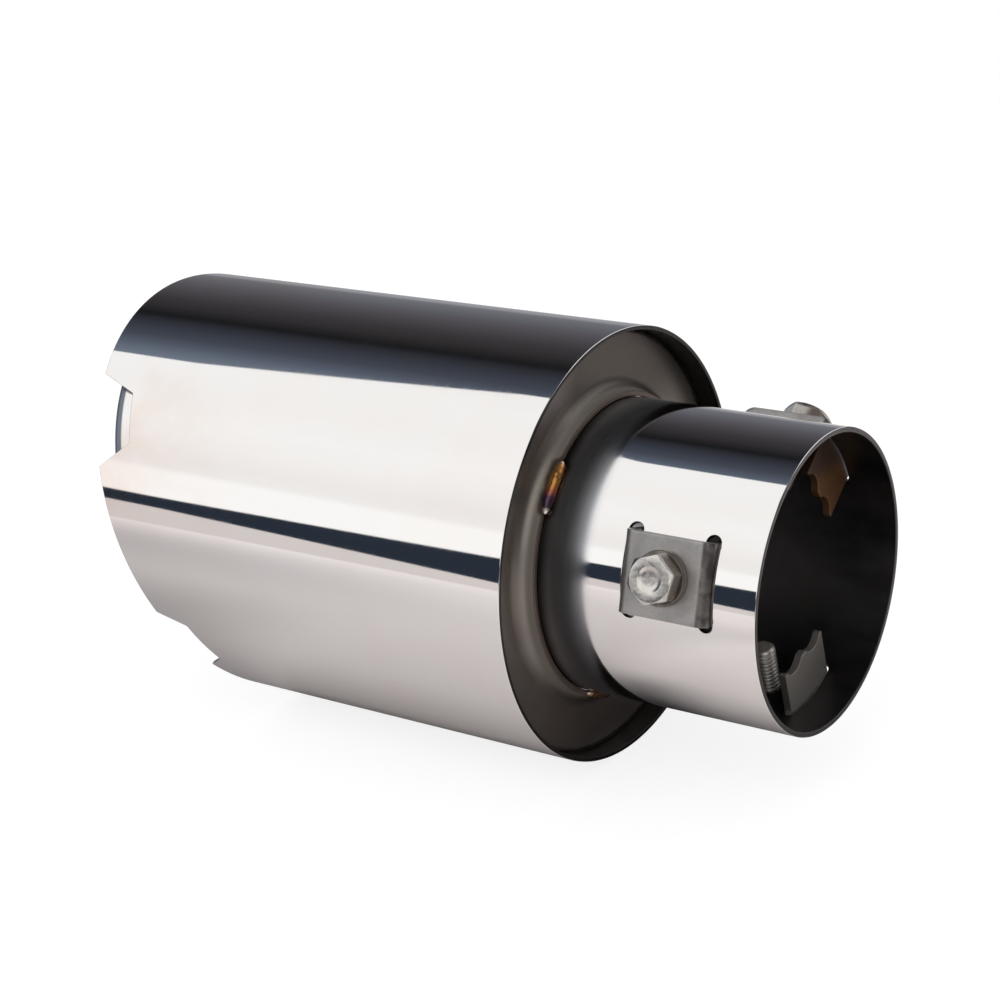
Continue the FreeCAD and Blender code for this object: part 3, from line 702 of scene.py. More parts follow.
def bolt_shank(sizes, around):
    """Radii and depths of the shank's rings: a thread whose radius follows a slanted wave with
    flat crests and roots, which fades in under the head, and the chamfered point."""
    thread_depth = 0.56 * MM
    crest_share, flank_share = 0.14, 0.74
    fade_start, fade_length = 0.5 * MM, 1.0 * MM
    below_head, above_end = 0.05 * MM, 0.02 * MM
    worn = 0.05 * MM
    rings_each_pitch = 12
    rows = 16 * rings_each_pitch
    depth = np.linspace(below_head, sizes.bolt_length - above_end, rows)[:, None]
    phase = (depth / sizes.bolt_pitch - around / FULL_TURN) % 1
    groove = np.clip((abs(2 * phase - 1) - crest_share) / flank_share, 0, 1)
    crest = sizes.bolt_radius - worn
    fade = np.clip((depth - fade_start) / fade_length, 0, 1)
    thread = crest - thread_depth * groove * fade
    point = crest - sizes.bolt_point + sizes.bolt_length - depth
    return np.minimum(thread, point), depth + 0 * around


def bolt_grid(sizes, number):
    """Hexagon bolt as one turned surface whose radius changes with the turn: head, shank and a
    flat end that closes in four rings."""
    seat = sizes.neck_radius + sizes.claw_gap + sizes.claw_wall + sizes.washer_wall
    around = np.arange(BOLT_COLUMNS) * FULL_TURN / BOLT_COLUMNS
    head_radii, head_heights = bolt_head(sizes, around, seat)
    shank_radii, depths = bolt_shank(sizes, around)
    end_rings = 4
    end_radii = np.linspace(1, 0, end_rings + 1)[1:, None] * shank_radii[-1]
    end_heights = np.full((end_rings, BOLT_COLUMNS), seat - sizes.bolt_length)
    radius = np.concatenate([head_radii, shank_radii, end_radii])
    height = np.concatenate([head_heights, seat - depths, end_heights])
    turned = around + sizes.head_angle + math.pi / 2
    return clamp_point(sizes, number, radius * np.sin(turned), -radius * np.cos(turned), height)


def washer_grid(sizes, number):
    """Flat ring with rounded edges, carried round the bolt's axis."""
    low = sizes.neck_radius + sizes.claw_gap + sizes.claw_wall
    high = low + sizes.washer_wall
    corners = [(low, sizes.washer_hole), (low, sizes.washer_radius),
               (high, sizes.washer_radius), (high, sizes.washer_hole)]
    roundings = [0.15 * MM, 0.25 * MM, 0.35 * MM, 0.15 * MM]
    corner_steps = 5
    section = rounded_outline(corners, roundings, corner_steps).reshape(-1, 2)
    turn = np.arange(WASHER_COLUMNS) * FULL_TURN / WASHER_COLUMNS
    height, radius = section[:, :1], section[:, 1:]
    return clamp_point(sizes, number, radius * np.cos(turn), radius * np.sin(turn), height)


def weld_grid(sizes, number):
    """Bead in the corner between neck and collar: a rounded section that swells and shrinks along
    the bead and closes at both ends, with the ripples that the melt leaves."""
    rings, ring_points = 97, 40
    end_power = 3.2
    lean = math.radians(-38)
    outwards, upwards = 0.25 * MM, 0.62 * MM
    middle = sizes.weld_angle + sizes.weld_pitch_angle * (number - 2)
    half = sizes.weld_sweep_angle / 2
    along = np.linspace(-1, 1, rings)[:, None]
    around = (np.arange(ring_points) * FULL_TURN / ring_points)[None, :]
    end_fall = np.clip(1 - abs(along) ** end_power, 0, 1) ** 0.5
    ripple = 1 + 0.022 * np.sin(along * 26 + np.cos(around) * 1.6 + number)
    lumps = 1 + 0.06 * np.sin(along * 7.3 + number * 2.1) + 0.04 * np.sin(around * 2 + along * 5)
    size = end_fall * ripple * lumps
    wide = (sizes.weld_foot + sizes.weld_lap) / 2
    tall = (sizes.plate_wall + 0.5 * MM) / 1.6
    over = wide * np.cos(around) * size
    out = tall * np.sin(around) * size
    corner_x = sizes.collar_height - sizes.plate_place + outwards
    corner_radius = sizes.neck_radius + sizes.sheet_gap + upwards
    x = corner_x + over * math.cos(lean) - out * math.sin(lean)
    radius = corner_radius + over * math.sin(lean) + out * math.cos(lean)
    return ring_point(x, middle + half * along + around * 0, radius)


# Finishes built from nodes

# Two places along the tube that lie off it, for an effect that a piece goes without
NOWHERE = (1.0, 2.0)

# The span that most of a noise's values lie in
NOISE_SPAN = (0.3, 0.7)


class NodeTree:
    """Adds nodes and joins them. A socket given for an input is linked, and a value is set."""

    def __init__(self, tree):
        self.tree = tree

    def add(self, kind, inputs=None, **settings):
        node = self.tree.nodes.new(kind)
        for name, value in settings.items():
            setattr(node, name, value)
        for name, value in (inputs or {}).items():
            self.join(value, node.inputs[name])
        return node

    def join(self, value, socket):
        if isinstance(value, bpy.types.NodeSocket):
            self.tree.links.new(value, socket)
        else:
            socket.default_value = value

    def calc(self, operation, *values, clamp=False):
        inputs = dict(enumerate(values))
        return self.add("ShaderNodeMath", inputs, operation=operation, use_clamp=clamp).outputs[0]

    def product(self, first, second):
        return self.calc("MULTIPLY", first, second)

    def level(self, mask, off, on):
        """A number that is off where the mask is 0 and on where it is 1."""
        return self.calc("MULTIPLY_ADD", mask, on - off, off)

    def raised(self, base, mask, amount):
        """The base with the amount added where the mask is 1."""
        return self.calc("MULTIPLY_ADD", mask, amount, base)

    def scaled(self, vector, x, y, z):
        """The vector with each part multiplied by its own number."""
        factors = self.add("ShaderNodeCombineXYZ", {"X": x, "Y": y, "Z": z}).outputs[0]
        return self.add("ShaderNodeVectorMath", {0: vector, 1: factors}, operation="MULTIPLY").outputs[0]

    def mix(self, factor, first, second):
        node = self.add("ShaderNodeMix", data_type="RGBA")
        for value, socket in ((factor, 0), (first, 6), (second, 7)):
            self.join(value, node.inputs[socket])
        return node.outputs[2]

    def mix_numbers(self, factor, first, second):
        node = self.add("ShaderNodeMix", data_type="FLOAT")
        for value, socket in ((factor, 0), (first, 2), (second, 3)):
            self.join(value, node.inputs[socket])
        return node.outputs[0]

    def span(self, value, low, high, to_low=0.0, to_high=1.0, smooth=True):
        """The value taken from one span to another, held at both ends."""
        kind = "SMOOTHSTEP" if smooth else "LINEAR"
        inputs = {"Value": value, "From Min": low, "From Max": high, "To Min": to_low, "To Max": to_high}
        return self.add("ShaderNodeMapRange", inputs, interpolation_type=kind).outputs["Result"]

    def ramp(self, value, stops):
        node = self.add("ShaderNodeValToRGB", {"Fac": value})
        elements = node.color_ramp.elements
        for extra in range(len(stops) - len(elements)):
            elements.new(0.5)
        for element, (place, shade) in zip(elements, sorted(stops)):
            element.position = place
            element.color = shade
        return node.outputs["Color"]

    def noise(self, vector, scale, detail, roughness=0.5, distortion=0.0):
        inputs = {"Vector": vector, "Scale": scale, "Detail": detail, "Roughness": roughness,
                  "Distortion": distortion}
        return self.add("ShaderNodeTexNoise", inputs).outputs[0]

    def bump(self, height, distance, normal=None):
        inputs = {"Height": height, "Distance": distance, "Strength": 1.0}
        if normal is not None:
            inputs["Normal"] = normal
        return self.add("ShaderNodeBump", inputs).outputs[0]

    def place(self):
        return self.add("ShaderNodeTexCoord").outputs["Object"]

    def parts(self, vector):
        return self.add("ShaderNodeSeparateXYZ", {0: vector}).outputs

    def from_axis(self, parts):
        """How far a point is from the tube's axis."""
        squares = [self.product(part, part) for part in (parts[1], parts[2])]
        return self.calc("SQRT", self.calc("ADD", *squares))


def new_group(name, inputs, outputs):
    """A shader node group with named number sockets, and its wiring helper."""
    tree = bpy.data.node_groups.new(name, "ShaderNodeTree")
    for socket_name, default in inputs.items():
        socket = tree.interface.new_socket(socket_name, in_out="INPUT", socket_type="NodeSocketFloat")
        socket.default_value = default
    for socket_name in outputs:
        tree.interface.new_socket(socket_name, in_out="OUTPUT", socket_type="NodeSocketFloat")
    wires = NodeTree(tree)
    source = wires.add("NodeGroupInput").outputs
    target = wires.add("NodeGroupOutput").inputs
    return wires, source, target


def group_node(wires, name, **inputs):
    """A group placed in a material with its own values. A socket's name is written in words."""
    node = wires.add("ShaderNodeGroup", node_tree=bpy.data.node_groups[name])
    for key, value in inputs.items():
        wires.join(value, node.inputs[key.replace("_", " ")])
    return node.outputs


def build_groups(sizes):
    """Effects that several finishes share."""
    wires, source, target = new_group(
        "polish_lines", {"Along": 900.0, "Around": 40.0, "Detail": 4.0}, ["Value"])
    placed = wires.scaled(wires.place(), source["Along"], source["Around"], source["Around"])
    wires.join(wires.noise(placed, 1.0, source["Detail"], roughness=0.6), target["Value"])

    wires, source, target = new_group("sheet_waves", {"Scale": 14.0, "Stretch": 0.35}, ["Height"])
    placed = wires.scaled(wires.place(), source["Stretch"], 1.0, 1.0)
    wires.join(wires.noise(placed, source["Scale"], 1.5, roughness=0.4), target["Height"])

    wires, source, target = new_group(
        "cloudy_stain", {"Scale": 40.0, "Low": 0.45, "High": 0.75}, ["Mask"])
    cloud = wires.noise(wires.place(), source["Scale"], 4.0, roughness=0.55, distortion=0.4)
    wires.join(wires.span(cloud, source["Low"], source["High"]), target["Mask"])

    wires, source, target = new_group("inside_wall", {"Radius": 0.03}, ["Mask"])
    margin = 0.04 * MM
    inwards = wires.calc("SUBTRACT", source["Radius"], wires.from_axis(wires.parts(wires.place())))
    wires.join(wires.span(inwards, -margin, margin), target["Mask"])

    wires, source, target = new_group("tube_end", {"From": 0.0, "To": -0.1, "Slope": 0.0}, ["Mask"])
    parts = wires.parts(wires.place())
    along = wires.calc("MULTIPLY_ADD", parts[2], source["Slope"], parts[0])
    wires.join(wires.span(along, source["From"], source["To"]), target["Mask"])

    build_weld_place(sizes)


def build_weld_place(sizes):
    """How far a point is from the nearest tack weld's middle line, and where it is along it: from
    -1 at the weld's upper end to 1 at its lower end."""
    line_share = 0.8
    wires, source, target = new_group("weld_place", {"Wobble": 0.001}, ["Distance", "Along"])
    parts = wires.parts(wires.place())
    turn = wires.calc("ARCTAN2", wires.product(parts[1], -1.0), parts[2])
    nearest = None
    for number in range(1, WELDS + 1):
        middle = sizes.weld_angle + sizes.weld_pitch_angle * (number - 2)
        away = wires.calc("WRAP", wires.calc("SUBTRACT", turn, middle), math.pi, -math.pi)
        if nearest is None:
            nearest = away
            continue
        closer = wires.calc("LESS_THAN", wires.calc("ABSOLUTE", away), wires.calc("ABSOLUTE", nearest))
        change = wires.product(wires.calc("SUBTRACT", away, nearest), closer)
        nearest = wires.calc("ADD", nearest, change)
    half = sizes.weld_sweep_angle / 2
    wires.join(wires.calc("DIVIDE", nearest, half), target["Along"])
    line_radius = sizes.neck_radius + sizes.plate_wall / 2
    beyond = wires.calc("SUBTRACT", wires.calc("ABSOLUTE", nearest), half * line_share)
    past_end = wires.calc("MAXIMUM", beyond, 0.0)
    gaps = wires.add("ShaderNodeCombineXYZ", {
        "X": wires.calc("ADD", parts[0], sizes.plate_place - sizes.collar_height),
        "Y": wires.calc("SUBTRACT", wires.from_axis(parts), line_radius),
        "Z": wires.product(past_end, line_radius),
    }).outputs[0]
    distance = wires.add("ShaderNodeVectorMath", {0: gaps}, operation="LENGTH").outputs["Value"]
    wobble = wires.calc("SUBTRACT", wires.noise(wires.place(), 260.0, 2.0), 0.5)
    shift = wires.product(wobble, source["Wobble"])
    wires.join(wires.calc("ADD", distance, shift), target["Distance"])


def new_metal(name):
    """A metal whose colour, roughness and normal are to be linked, and its wiring helper."""
    material = bpy.data.materials.new(name)
    material.use_nodes = True
    material.node_tree.nodes.clear()
    wires = NodeTree(material.node_tree)
    surface = wires.add("ShaderNodeBsdfPrincipled", {"Metallic": 1.0})
    output = wires.add("ShaderNodeOutputMaterial")
    wires.join(surface.outputs[0], output.inputs["Surface"])
    return material, wires, surface.inputs


def tint(value):
    return (*value, 1.0)


def darker(shade, share_left):
    """A colour with only a share of its light left."""
    return tuple(part * share_left for part in shade) + (1.0,)


def polished_metal(name, look, cut_radius, inside_shade, wave, stain_and_shade=NOWHERE, heated=NOWHERE,
                   seam=NOWHERE, shaded_end=NOWHERE, lip=None):
    """Mirror-polished outside with faint waves, lines and straw tint, and a raw inside wall. The
    straw tint gathers along one stretch of the tube, heat has dulled another, a painted shadow lies
    in a seam and a painted shade on the inside wall's end, each a pair of places along the tube. A
    lip is where its band of painted reflection begins, where its bright edge begins, and the slope
    of its plane."""
    stain_height = 22 * MM
    faint_stain, full_stain = 0.14, 0.94
    heat_tint, heat_roughness = 0.38, 0.21
    seam_shadow_share, burn_share, end_shade_share = 0.9, 0.85, 0.95
    burn_near, burn_far = 1.6 * MM, 3.0 * MM
    stain_roughness, haze_tint = 0.015, 0.03
    raw_low, raw_high, stain_left = 0.30, 0.42, 0.7
    slate_shine = 0.5
    fine_grain = 0.0015 * MM
    material, wires, surface = new_metal(name)
    lines = group_node(wires, "polish_lines", Along=1400.0, Around=30.0, Detail=3.0)["Value"]
    haze = group_node(wires, "polish_lines", Along=60.0, Around=260.0, Detail=5.0)["Value"]
    waves = group_node(wires, "sheet_waves", Scale=16.0, Stretch=0.4)["Height"]
    stain = group_node(wires, "cloudy_stain", Scale=24.0, Low=0.4, High=0.66)["Mask"]
    inside = group_node(wires, "inside_wall", Radius=cut_radius)["Mask"]
    gathered = group_node(wires, "tube_end", From=stain_and_shade[0], To=stain_and_shade[1])["Mask"]
    heat = group_node(wires, "tube_end", From=heated[0], To=heated[1])["Mask"]
    seam_shadow = group_node(wires, "tube_end", From=seam[0], To=seam[1])["Mask"]
    end = group_node(wires, "tube_end", From=shaded_end[0], To=shaded_end[1])["Mask"]
    weld = group_node(wires, "weld_place", Wobble=0.8 * MM)["Distance"]
    height = wires.parts(wires.place())[2]
    upper = wires.product(gathered, wires.span(height, 0.0, stain_height))
    amount = wires.product(stain, wires.level(upper, faint_stain, full_stain))
    toned = wires.mix(amount, tint(look.steel), tint(look.warm_steel))
    toned = wires.mix(wires.product(heat, heat_tint), toned, tint(look.dull_steel))
    # painted shadow on the neck in the seam beside the collar's end
    toned = wires.mix(wires.product(seam_shadow, seam_shadow_share), toned, tint(look.seam_shadow))
    toned = wires.mix(wires.span(weld, burn_near, burn_far, burn_share, 0.0), toned, tint(look.burn_and_shade))
    if lip:
        # painted reflection along the liner's lip, with less shine there
        slate = lip_reflection_band(wires, *lip)
        toned = wires.mix(slate, toned, tint(look.lip_reflection))
        wires.join(wires.level(slate, 1.0, slate_shine), surface["Metallic"])
    toned = wires.mix(wires.product(haze, haze_tint), toned, tint(look.plate))
    raw = wires.mix(stain, tint(inside_shade), darker(inside_shade, stain_left))
    # painted shade on the inside wall's end before the plate
    raw = wires.mix(wires.product(end, end_shade_share), raw, tint(look.end_shade))
    wires.join(wires.mix(inside, toned, raw), surface["Base Color"])
    mirror = look.mirror_roughness
    gloss = wires.span(lines, *NOISE_SPAN, mirror * 0.7, mirror * 1.5)
    rough = wires.raised(wires.raised(gloss, stain, stain_roughness), heat, heat_roughness)
    dull = wires.span(haze, *NOISE_SPAN, raw_low, raw_high)
    wires.join(wires.mix_numbers(inside, rough, dull), surface["Roughness"])
    wires.join(wires.bump(haze, fine_grain, wires.bump(waves, wave)), surface["Normal"])
    return material


def lip_reflection_band(wires, slate_place, bright_place, slope):
    """Mask of a painted reflection along a rolled lip: a slate band, which gives way to a bright edge."""
    slate_end = slate_place - 0.6 * MM
    bright_end = bright_place - 0.4 * MM
    slate_left = 0.15
    slate = group_node(wires, "tube_end", From=slate_place, To=slate_end, Slope=slope)["Mask"]
    bright = group_node(wires, "tube_end", From=bright_place, To=bright_end, Slope=slope)["Mask"]
    return wires.product(slate, wires.level(bright, 1.0, slate_left))


def plate_metal(sizes, look):
    """Satin pressed sheet: cloudy grey-brown, darker at the top of the far side, with fine lines,
    a painted highlight on the collar, a painted shadow on its end and heat tint by the welds."""
    collar_highlight_share, collar_end_shadow_share, burn_share = 0.55, 0.85, 0.85
    halo_share, top_share = 0.3, 0.8
    shine, collar_shine = 0.87, 0.45
    material, wires, surface = new_metal("plate_satin")
    cloud = group_node(wires, "cloudy_stain", Scale=34.0, Low=0.35, High=0.7)["Mask"]
    grain = group_node(wires, "polish_lines", Along=1500.0, Around=1500.0, Detail=3.0)["Value"]
    distance = group_node(wires, "weld_place", Wobble=1.2 * MM)["Distance"]
    parts = wires.parts(wires.place())
    far_side = wires.span(parts[1], -14 * MM, -4 * MM)
    far_top = wires.product(far_side, wires.span(parts[2], 18 * MM, 32 * MM))
    front = -sizes.plate_place
    collar = group_node(wires, "tube_end", From=front + 0.3 * MM, To=front + 2.2 * MM)["Mask"]
    rim = front + sizes.collar_height
    edge = group_node(wires, "tube_end", From=rim - 0.5 * MM, To=rim - 0.15 * MM)["Mask"]
    halo = wires.span(distance, 1.5 * MM, 4.5 * MM, halo_share, 0.0)
    scorched = wires.span(distance, 1.3 * MM, 2.3 * MM, burn_share, 0.0)
    toned = wires.mix(cloud, tint(look.plate), tint(look.plate_shade))
    toned = wires.mix(wires.product(far_top, top_share), toned, darker(look.plate, 0.35))
    toned = wires.mix(halo, toned, tint(look.halo))
    # painted highlight on the collar
    toned = wires.mix(wires.product(collar, collar_highlight_share), toned, tint(look.collar_highlight))
    # painted shadow on the collar's end, in the dark brown of a weld's burn
    toned = wires.mix(wires.product(edge, collar_end_shadow_share), toned, tint(look.burn_and_shade))
    wires.join(wires.mix(scorched, toned, tint(look.burn_and_shade)), surface["Base Color"])
    wires.join(wires.level(collar, shine, collar_shine), surface["Metallic"])
    low = look.satin_roughness - 0.05
    wires.join(wires.span(grain, *NOISE_SPAN, low, low + 0.1), surface["Roughness"])
    wires.join(wires.bump(grain, 0.004 * MM), surface["Normal"])
    return material


def bracket_metal(sizes, look):
    """Dull blasted strip: fine speckle and broad cloudy marks, a patchy painted shade on the bend
    towards the mouth, dull legs inside the neck, and painted shade and rust on the legs that stand
    high in it."""
    speck_share, bend_shade_share, leg_shine = 0.5, 0.97, 0.65
    rust_share, low_rust_share = 0.35, 0.9
    material, wires, surface = new_metal("bracket_blast")
    speck = group_node(wires, "polish_lines", Along=2600.0, Around=2600.0, Detail=4.0)["Value"]
    cloud = group_node(wires, "cloudy_stain", Scale=120.0, Low=0.35, High=0.7)["Mask"]
    patches = group_node(wires, "cloudy_stain", Scale=300.0, Low=0.3, High=0.7)["Mask"]
    leg = group_node(wires, "inside_wall", Radius=sizes.neck_radius - sizes.neck_wall)["Mask"]
    flat_end = sizes.claw_reach - sizes.claw_bend - sizes.clamp_place
    bend = group_node(wires, "tube_end", From=flat_end, To=flat_end + 0.7 * MM)["Mask"]
    height = wires.parts(wires.place())[2]
    high_leg = wires.product(leg, wires.span(height, 2 * MM, 8 * MM))
    low_part = wires.span(height, 19 * MM, 14 * MM)
    dark = darker(look.bracket, 0.72)
    toned = wires.mix(cloud, tint(look.bracket), dark)
    toned = wires.mix(wires.span(speck, 0.42, 0.75, 0.0, speck_share), toned, dark)
    # patchy painted shade on the bend towards the mouth
    bend_shaded = wires.product(bend, wires.level(patches, 0.62, bend_shade_share))
    toned = wires.mix(bend_shaded, toned, tint(look.bend_shade))
    toned = wires.mix(leg, toned, tint(look.dull_leg))
    # painted shade on the legs that stand high in the neck
    toned = wires.mix(high_leg, toned, tint(look.high_leg_shade))
    spotted = wires.product(high_leg, wires.level(low_part, rust_share, low_rust_share))
    wires.join(wires.mix(spotted, toned, tint(look.rust)), surface["Base Color"])
    wires.join(wires.level(leg, 1.0, leg_shine), surface["Metallic"])
    low = look.blasted_roughness - 0.08
    wires.join(wires.span(speck, *NOISE_SPAN, low, low + 0.16), surface["Roughness"])
    wires.join(wires.bump(speck, 0.008 * MM), surface["Normal"])
    return material


def plated_metal(name, sizes, look, shade, top_radius, roughness):
    """Bright plating over a forged or stamped surface, with uneven gloss and soft dents. Only what
    stands further from the tube's axis than the top radius keeps the bright shade; below it the
    sides get a duller colour with a painted shade, and a darker painted shade towards the mouth.
    Inside the neck the plating is dull."""
    mouth_side_shade_share, cloud_share = 0.9, 0.4
    thread_shine, side_dulling = 0.8, -0.6
    cloud_roughness, thread_roughness = 0.12, 0.1
    material, wires, surface = new_metal(name)
    dents = group_node(wires, "polish_lines", Along=620.0, Around=620.0, Detail=1.0)["Value"]
    cloud = group_node(wires, "cloudy_stain", Scale=420.0, Low=0.35, High=0.7)["Mask"]
    low = group_node(wires, "inside_wall", Radius=top_radius)["Mask"]
    thread = group_node(wires, "inside_wall", Radius=sizes.neck_radius - sizes.neck_wall)["Mask"]
    middle = -sizes.clamp_place
    mouthward = group_node(wires, "tube_end", From=middle + 0.4 * MM, To=middle + 2.4 * MM)["Mask"]
    outside = wires.calc("SUBTRACT", 1.0, thread)
    # painted shade on the sides towards the mouth
    stain_and_shade = wires.product(wires.product(mouthward, outside), mouth_side_shade_share)
    side = wires.mix(stain_and_shade, tint(look.bolt_side_dull_and_shade), tint(look.bolt_shade))
    # below the top radius: the duller side colour with its painted shade
    based = wires.mix(low, tint(shade), side)
    wires.join(wires.mix(wires.product(cloud, cloud_share), based, side), surface["Base Color"])
    gloss = wires.span(cloud, 0.0, 1.0, roughness, roughness + cloud_roughness)
    wires.join(wires.raised(gloss, thread, thread_roughness), surface["Roughness"])
    sides = wires.product(low, outside)
    shine = wires.raised(wires.level(thread, 1.0, thread_shine), sides, side_dulling)
    wires.join(shine, surface["Metallic"])
    wires.join(wires.bump(wires.product(dents, outside), 0.03 * MM), surface["Normal"])
    return material


def weld_metal(look):
    """Weld metal with bands of heat tint: painted highlights at both ends, gold above and purple
    below, and a painted shade over a low weld."""
    cloud_share, low_shade_share, burn_share = 0.2, 0.8, 0.85
    material, wires, surface = new_metal("weld_tint")
    place = group_node(wires, "weld_place", Wobble=0.3 * MM)
    cloud = group_node(wires, "cloudy_stain", Scale=420.0, Low=0.4, High=0.75)["Mask"]
    ripple = group_node(wires, "polish_lines", Along=500.0, Around=500.0, Detail=1.0)["Value"]
    share_along = wires.span(place["Along"], -1.0, 1.0, smooth=False)
    # the white at both ends of the bands is a painted highlight
    bands = wires.ramp(share_along, [(stop, tint(shade)) for stop, shade in (
        (0.0, look.weld_end_highlight), (0.04, look.weld_straw), (0.12, look.weld_gold), (0.45, look.weld_gold),
        (0.58, look.weld_copper), (0.7, look.weld_purple), (0.88, look.weld_grey),
        (0.94, look.weld_end_highlight), (1.0, look.weld_end_highlight))])
    toned = wires.mix(wires.product(cloud, cloud_share), bands, tint(look.weld_purple))
    inner = wires.span(share_along, 0.06, 0.12)
    height = wires.parts(wires.place())[2]
    # painted shade over the weld that lies low
    low_weld_shade = wires.product(wires.span(height, 0.0, -20 * MM, 0.0, low_shade_share), inner)
    toned = wires.mix(low_weld_shade, toned, tint(look.burn_and_shade))
    edge = wires.span(place["Distance"], 1.2 * MM, 1.8 * MM, 0.0, burn_share)
    wires.join(wires.mix(edge, toned, tint(look.burn_and_shade)), surface["Base Color"])
    wires.join(0.8, surface["Metallic"])
    wires.join(wires.span(cloud, 0.0, 1.0, 0.22, 0.34), surface["Roughness"])
    wires.join(wires.bump(ripple, 0.006 * MM), surface["Normal"])
    return material


def build_finishes(sizes, look):
    """The node groups, then one material for each finish."""
    build_groups(sizes)
    skin = 0.1 * MM
    plate_front = -sizes.plate_place
    collar_end = plate_front + sizes.collar_height
    outlet = (-125 * MM, -158 * MM)
    beside_collar = (collar_end + 14.2 * MM, collar_end + 9.8 * MM)
    # where the neck's painted shadow lies beside the collar's end
    at_collar = (collar_end + 3.2 * MM, collar_end + 0.2 * MM)
    # where the shell's inside wall gets its painted shade
    before_plate = (plate_front - 0.6 * MM, plate_front + 0.2 * MM)
    lip_slope = math.tan(sizes.rake_angle)
    # where the liner's painted reflection and its bright edge begin
    lip = (3.3 * MM - sizes.outlet_middle, 0.8 * MM - sizes.outlet_middle, lip_slope)
    polished_metal("shell_polish", look, sizes.shell_radius - skin, look.raw_steel,
                   wave=0.006 * MM, stain_and_shade=outlet, shaded_end=before_plate)
    # the liner's cut radius lies well inside its bore, so both of its walls are polished
    polished_metal("liner_polish", look, sizes.liner_radius / 2, look.raw_steel,
                   wave=0.01 * MM, stain_and_shade=outlet, lip=lip)
    polished_metal("neck_polish", look, sizes.neck_radius - skin, look.soot,
                   wave=0.008 * MM, heated=beside_collar, seam=at_collar)
    plate_metal(sizes, look)
    bracket_metal(sizes, look)
    seat = sizes.neck_radius + sizes.claw_gap + sizes.claw_wall + sizes.washer_wall
    washer_edge = seat - 0.3 * MM
    # below this the bolt's head gets its painted shade
    head_edge = seat + sizes.head_height - 0.75 * MM
    # the washers' dark colour is a painted shade
    plated_metal("washer_plating", sizes, look, look.washer, washer_edge, roughness=0.34)
    plated_metal("bolt_plating", sizes, look, look.bolt, head_edge, roughness=0.2)
    weld_metal(look)


# Studio

# What polished tubes show: degrees round the tube's axis from straight up towards the near side.
# The dark ring gives way to the light one at an edge that lies a little aslant of the tube.
DARK_RING = (
    (-94, (150, 152, 158)), (-88, (112, 114, 120)), (-80, (104, 105, 112)), (-72, (94, 94, 102)),
    (-64, (84, 82, 88)), (-55, (71, 69, 73)), (-47, (58, 56, 59)), (-39, (48, 46, 48)),
    (-33, (34, 33, 35)), (-30, (25, 26, 29)), (-26, (42, 44, 50)), (-20, (54, 58, 67)),
    (-13, (66, 71, 82)), (-7, (84, 92, 106)), (-3, (98, 107, 122)), (2, (112, 121, 136)),
)
LIGHT_RING = (
    (-14, (244, 243, 243)), (4, (248, 247, 246)), (22, (247, 245, 244)), (38, (250, 249, 248)),
    (50, (247, 245, 244)), (60, (242, 239, 238)), (66, (243, 241, 240)), (69, (255, 254, 253)),
)
GAP_SHADE = (40, 47, 58)
LOW_SHADE = (213, 206, 204)
FAR_RING = (
    (-94, (190, 184, 182)), (-90, (50, 56, 70)), (-84, (45, 52, 66)), (-81, (238, 238, 240)),
    (-50, (244, 244, 245)), (-24, (226, 227, 230)), (-20, (70, 74, 84)), (-8, (46, 46, 50)),
    (4, (34, 35, 39)), (14, (72, 78, 90)), (18, (236, 234, 233)), (50, (250, 249, 248)),
    (81.5, (255, 254, 253)), (84, (45, 52, 66)), (91, (50, 56, 70)), (94, (190, 184, 182)),
)
OUTLET_END = (86, 97, 114)
MOUTH_END = (70, 66, 64)

# The bands' edges that lie aslant of the tube. Each is two pairs of how far a direction points
# along the tube, from -1 to 1, and the edge's turn there in degrees.
LIGHT_EDGE = ((-0.54, -9.3), (-0.66, 2.3))
LIGHT_EDGE_OVER_NECK = ((-0.52, -8.7), (-0.50, -4.2))
GAP_EDGE = ((-0.45, 78.4), (-0.665, 83.6))
LOW_EDGE = ((-0.665, 89.7), (-0.545, 93.6))
LOW_EDGE_OVER_NECK = ((-0.52, 91.2), (-0.45, 93.1))
NECK_START = -0.53

# How soft those edges are, as a turn to each side
LIGHT_SOFT = 0.008
GAP_SOFT = 0.009
LOW_SOFT = 0.006

# Directions along the tube over which the near ring gives way to the far one, and the rings to
# the dark ends of the studio
FAR_START = (-0.32, -0.08)
OUTLET_START = (-0.70, -0.84)
MOUTH_START = (0.7, 0.92)

# The camera's matrix, with its right, up and back directions and its place as columns
CAMERA_PLACE = (
    (0.82294, -0.14595, 0.54905, 0.21114),
    (0.56113, 0.35999, -0.74534, -0.40376),
    (-0.08887, 0.92146, 0.37815, 0.21065),
    (0.0, 0.0, 0.0, 1.0),
)


def ring_light(wires, turn, stops):
    """Light from all round the tube, as a ramp over the turn."""
    share_round = wires.calc("MULTIPLY_ADD", turn, 1 / FULL_TURN, 0.5)
    placed = [(degrees / 360 + 0.5, as_light(*shade)) for degrees, shade in stops]
    return wires.ramp(share_round, placed)


def aslant_edge(wires, along, edge):
    """Turn of a band's edge that lies aslant of the tube."""
    (first, first_turn), (last, last_turn) = edge
    return wires.span(along, first, last, math.radians(first_turn), math.radians(last_turn),
                      smooth=False)


def past(wires, turn, edge, soft):
    """How far the turn is past an edge, from 0 to 1 over a soft margin."""
    return wires.span(wires.calc("SUBTRACT", turn, edge), -soft, soft)


